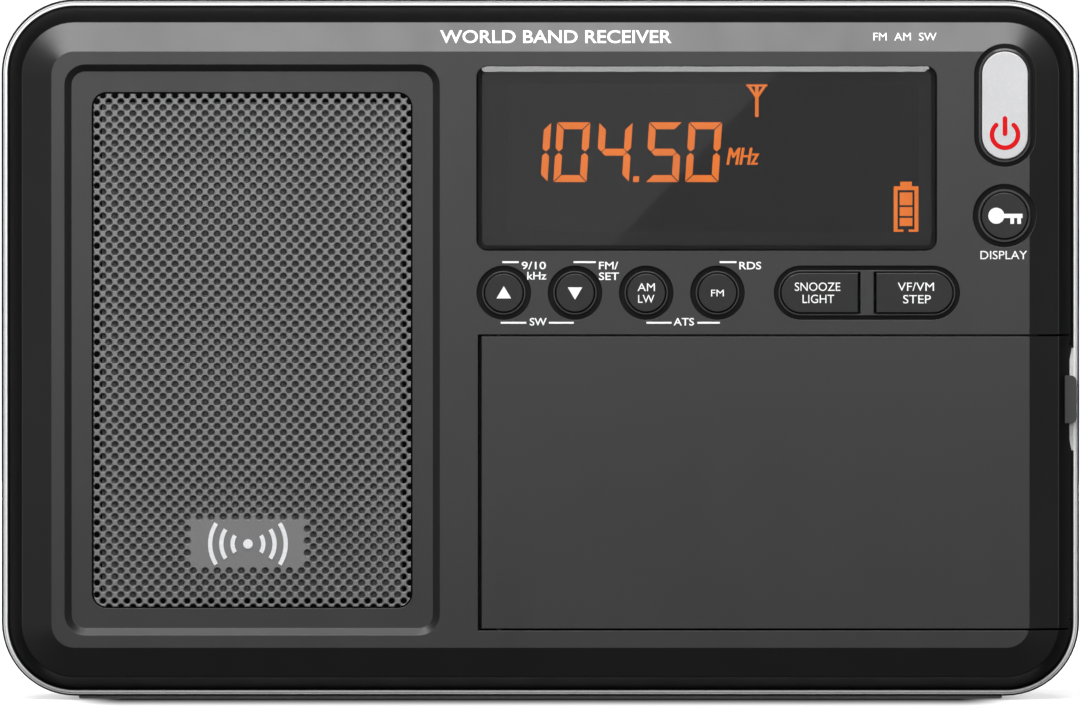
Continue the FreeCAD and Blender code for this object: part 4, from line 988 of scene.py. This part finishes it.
def studio(eye):
    middle = (0, 0, 0.05)
    panel_light("top_box", (-0.12, -0.56, 0.94), middle, (1.1, 0.68), 8.8)
    panel_light("front_high", (-0.02, -0.42, 0.16), (-0.02, 0, 0.16), (0.42, 0.24), 2.85)
    panel_light("front_low", (-0.02, -0.42, -0.06), (-0.02, 0, -0.06), (0.42, 0.16), 0.36)
    panel_light("left_card", (-0.9, -0.6, 0.12), middle, (0.4, 0.6), 0.2)
    panel_light("back_box", (0.0, 1.3, 0.05), middle, (1.0, 0.6), 8.0)
    panel_light("back_low", (0.0, 0.9, -0.38), (0, 0, 0), (0.8, 0.3), 1.6)
    for side in (-1, 1):
        panel_light("side_card", (side * 1.0, 0.25, 0.12), middle, (0.6, 0.5), 1.1)
    panel_light("under_back", (0.0, 0.6, -0.54), (0, 0, 0), (0.7, 0.24), 0.5)
    flag("window_flag_right", eye, ((35, 86), (5, 54.5), (60, 54.5), (60, 86)), 0.36, 0.50)
    flag("window_flag_left", eye, ((35, 86), (-16, 86), (-16, 54.5), (5, 54.5)), 0.36, 0.76)
    world = bpy.data.worlds.new("studio")
    bpy.context.scene.world = world
    world.use_nodes = True
    nt = world.node_tree
    where = nt.nodes.new("ShaderNodeTexCoord")
    split = nt.nodes.new("ShaderNodeSeparateXYZ")
    nt.links.new(where.outputs["Generated"], split.inputs["Vector"])
    level = remap(nt, split.outputs["Z"], 0.09, 0.02, -0.1, 0.1)
    nt.links.new(level, nt.nodes["Background"].inputs["Strength"])
    nt.nodes["Background"].inputs["Color"].default_value = (1, 1, 1, 1)
    bpy.context.scene.view_settings.view_transform = "Standard"
    bpy.context.scene.view_settings.look = "None"


# The floor's paper, with its glow, is just past white. The soft shade at the foot is full as far as the
# first distance and gone by the second.
FLOOR_WHITE = 0.55
FLOOR_GLOW = 0.7
FAR_GLOW = 0.4  # on top of that, far in front and far behind
SHADE_FRONT = (-4 * MM, -57 * MM)
SHADE_SIDE = (54 * MM, 64.8 * MM)
SHADE_BEHIND = (8 * MM, 16 * MM)
FLOOR_REACH = 30.0  # in metres, each way


def smooth_step(nt, value, start, end):
    node = nt.nodes.new("ShaderNodeMapRange")
    node.interpolation_type = "SMOOTHSTEP"
    node.inputs["From Min"].default_value = start
    node.inputs["From Max"].default_value = end
    nt.links.new(value, node.inputs["Value"])
    return node.outputs["Result"]


def floor_paper():
    """White paper that glows a little, darker in a soft band where it meets the foot."""
    mat, nt, shader = tree("floor_paper")
    at = place(nt)
    split = nt.nodes.new("ShaderNodeSeparateXYZ")
    nt.links.new(at, split.inputs["Vector"])
    side = remap(nt, maths(nt, split.outputs["X"], 0.0, "ABSOLUTE"), 0, 1, *SHADE_SIDE)
    front = remap(nt, split.outputs["Y"], 0, 1, *SHADE_FRONT)
    spread = maths(nt, maths(nt, side, 2.0, "POWER"), maths(nt, front, 2.0, "POWER"), "ADD")
    behind = smooth_step(nt, split.outputs["Y"], *SHADE_BEHIND[::-1])
    shade = maths(nt, smooth_step(nt, maths(nt, spread, 0.5, "POWER"), 1.0, 0.0), behind)
    paper = noise(nt, at, 60 * MM, 3.0)
    white = mix(nt, paper, (FLOOR_WHITE,) * 3, (FLOOR_WHITE * 1.03,) * 3)
    nt.links.new(mix(nt, shade, white, (0.008, 0.008, 0.008)), shader.inputs["Base Color"])
    shader.inputs["Roughness"].default_value = 1.0
    shader.inputs["Specular IOR Level"].default_value = 0.0
    shader.inputs["Emission Color"].default_value = (1, 1, 1, 1)
    lit = maths(nt, 1.0, shade, "SUBTRACT")
    far = smooth_step(nt, maths(nt, split.outputs["Y"], 0.0, "ABSOLUTE"), 0.2, 0.8)
    glow = maths(nt, maths(nt, far, FAR_GLOW), FLOOR_GLOW, "ADD")
    nt.links.new(maths(nt, lit, glow), shader.inputs["Emission Strength"])
    return mat


def floor():
    """White floor, wide enough to fill the picture from any side."""
    mesh = bpy.data.meshes.new("floor")
    far = FLOOR_REACH
    corners = ((-far, -far), (far, -far), (far, far), (-far, far))
    mesh.from_pydata([(x, y, 0) for x, y in corners], [], [(0, 1, 2, 3)])
    mesh.materials.append(floor_paper())
    obj = bpy.data.objects.new("floor", mesh)
    bpy.context.scene.collection.objects.link(obj)
    obj.visible_diffuse = False
    obj.visible_glossy = False
    obj.visible_shadow = False


dress_nodes()
studio(camera().location.copy())
floor()
perforated_sheet()
emblem()
joint_shade_lip()
display_figures()
display_mask()
face_legends()
bevel_legends()
key_legends()
power_sign()
key_sign()
deck_legends()
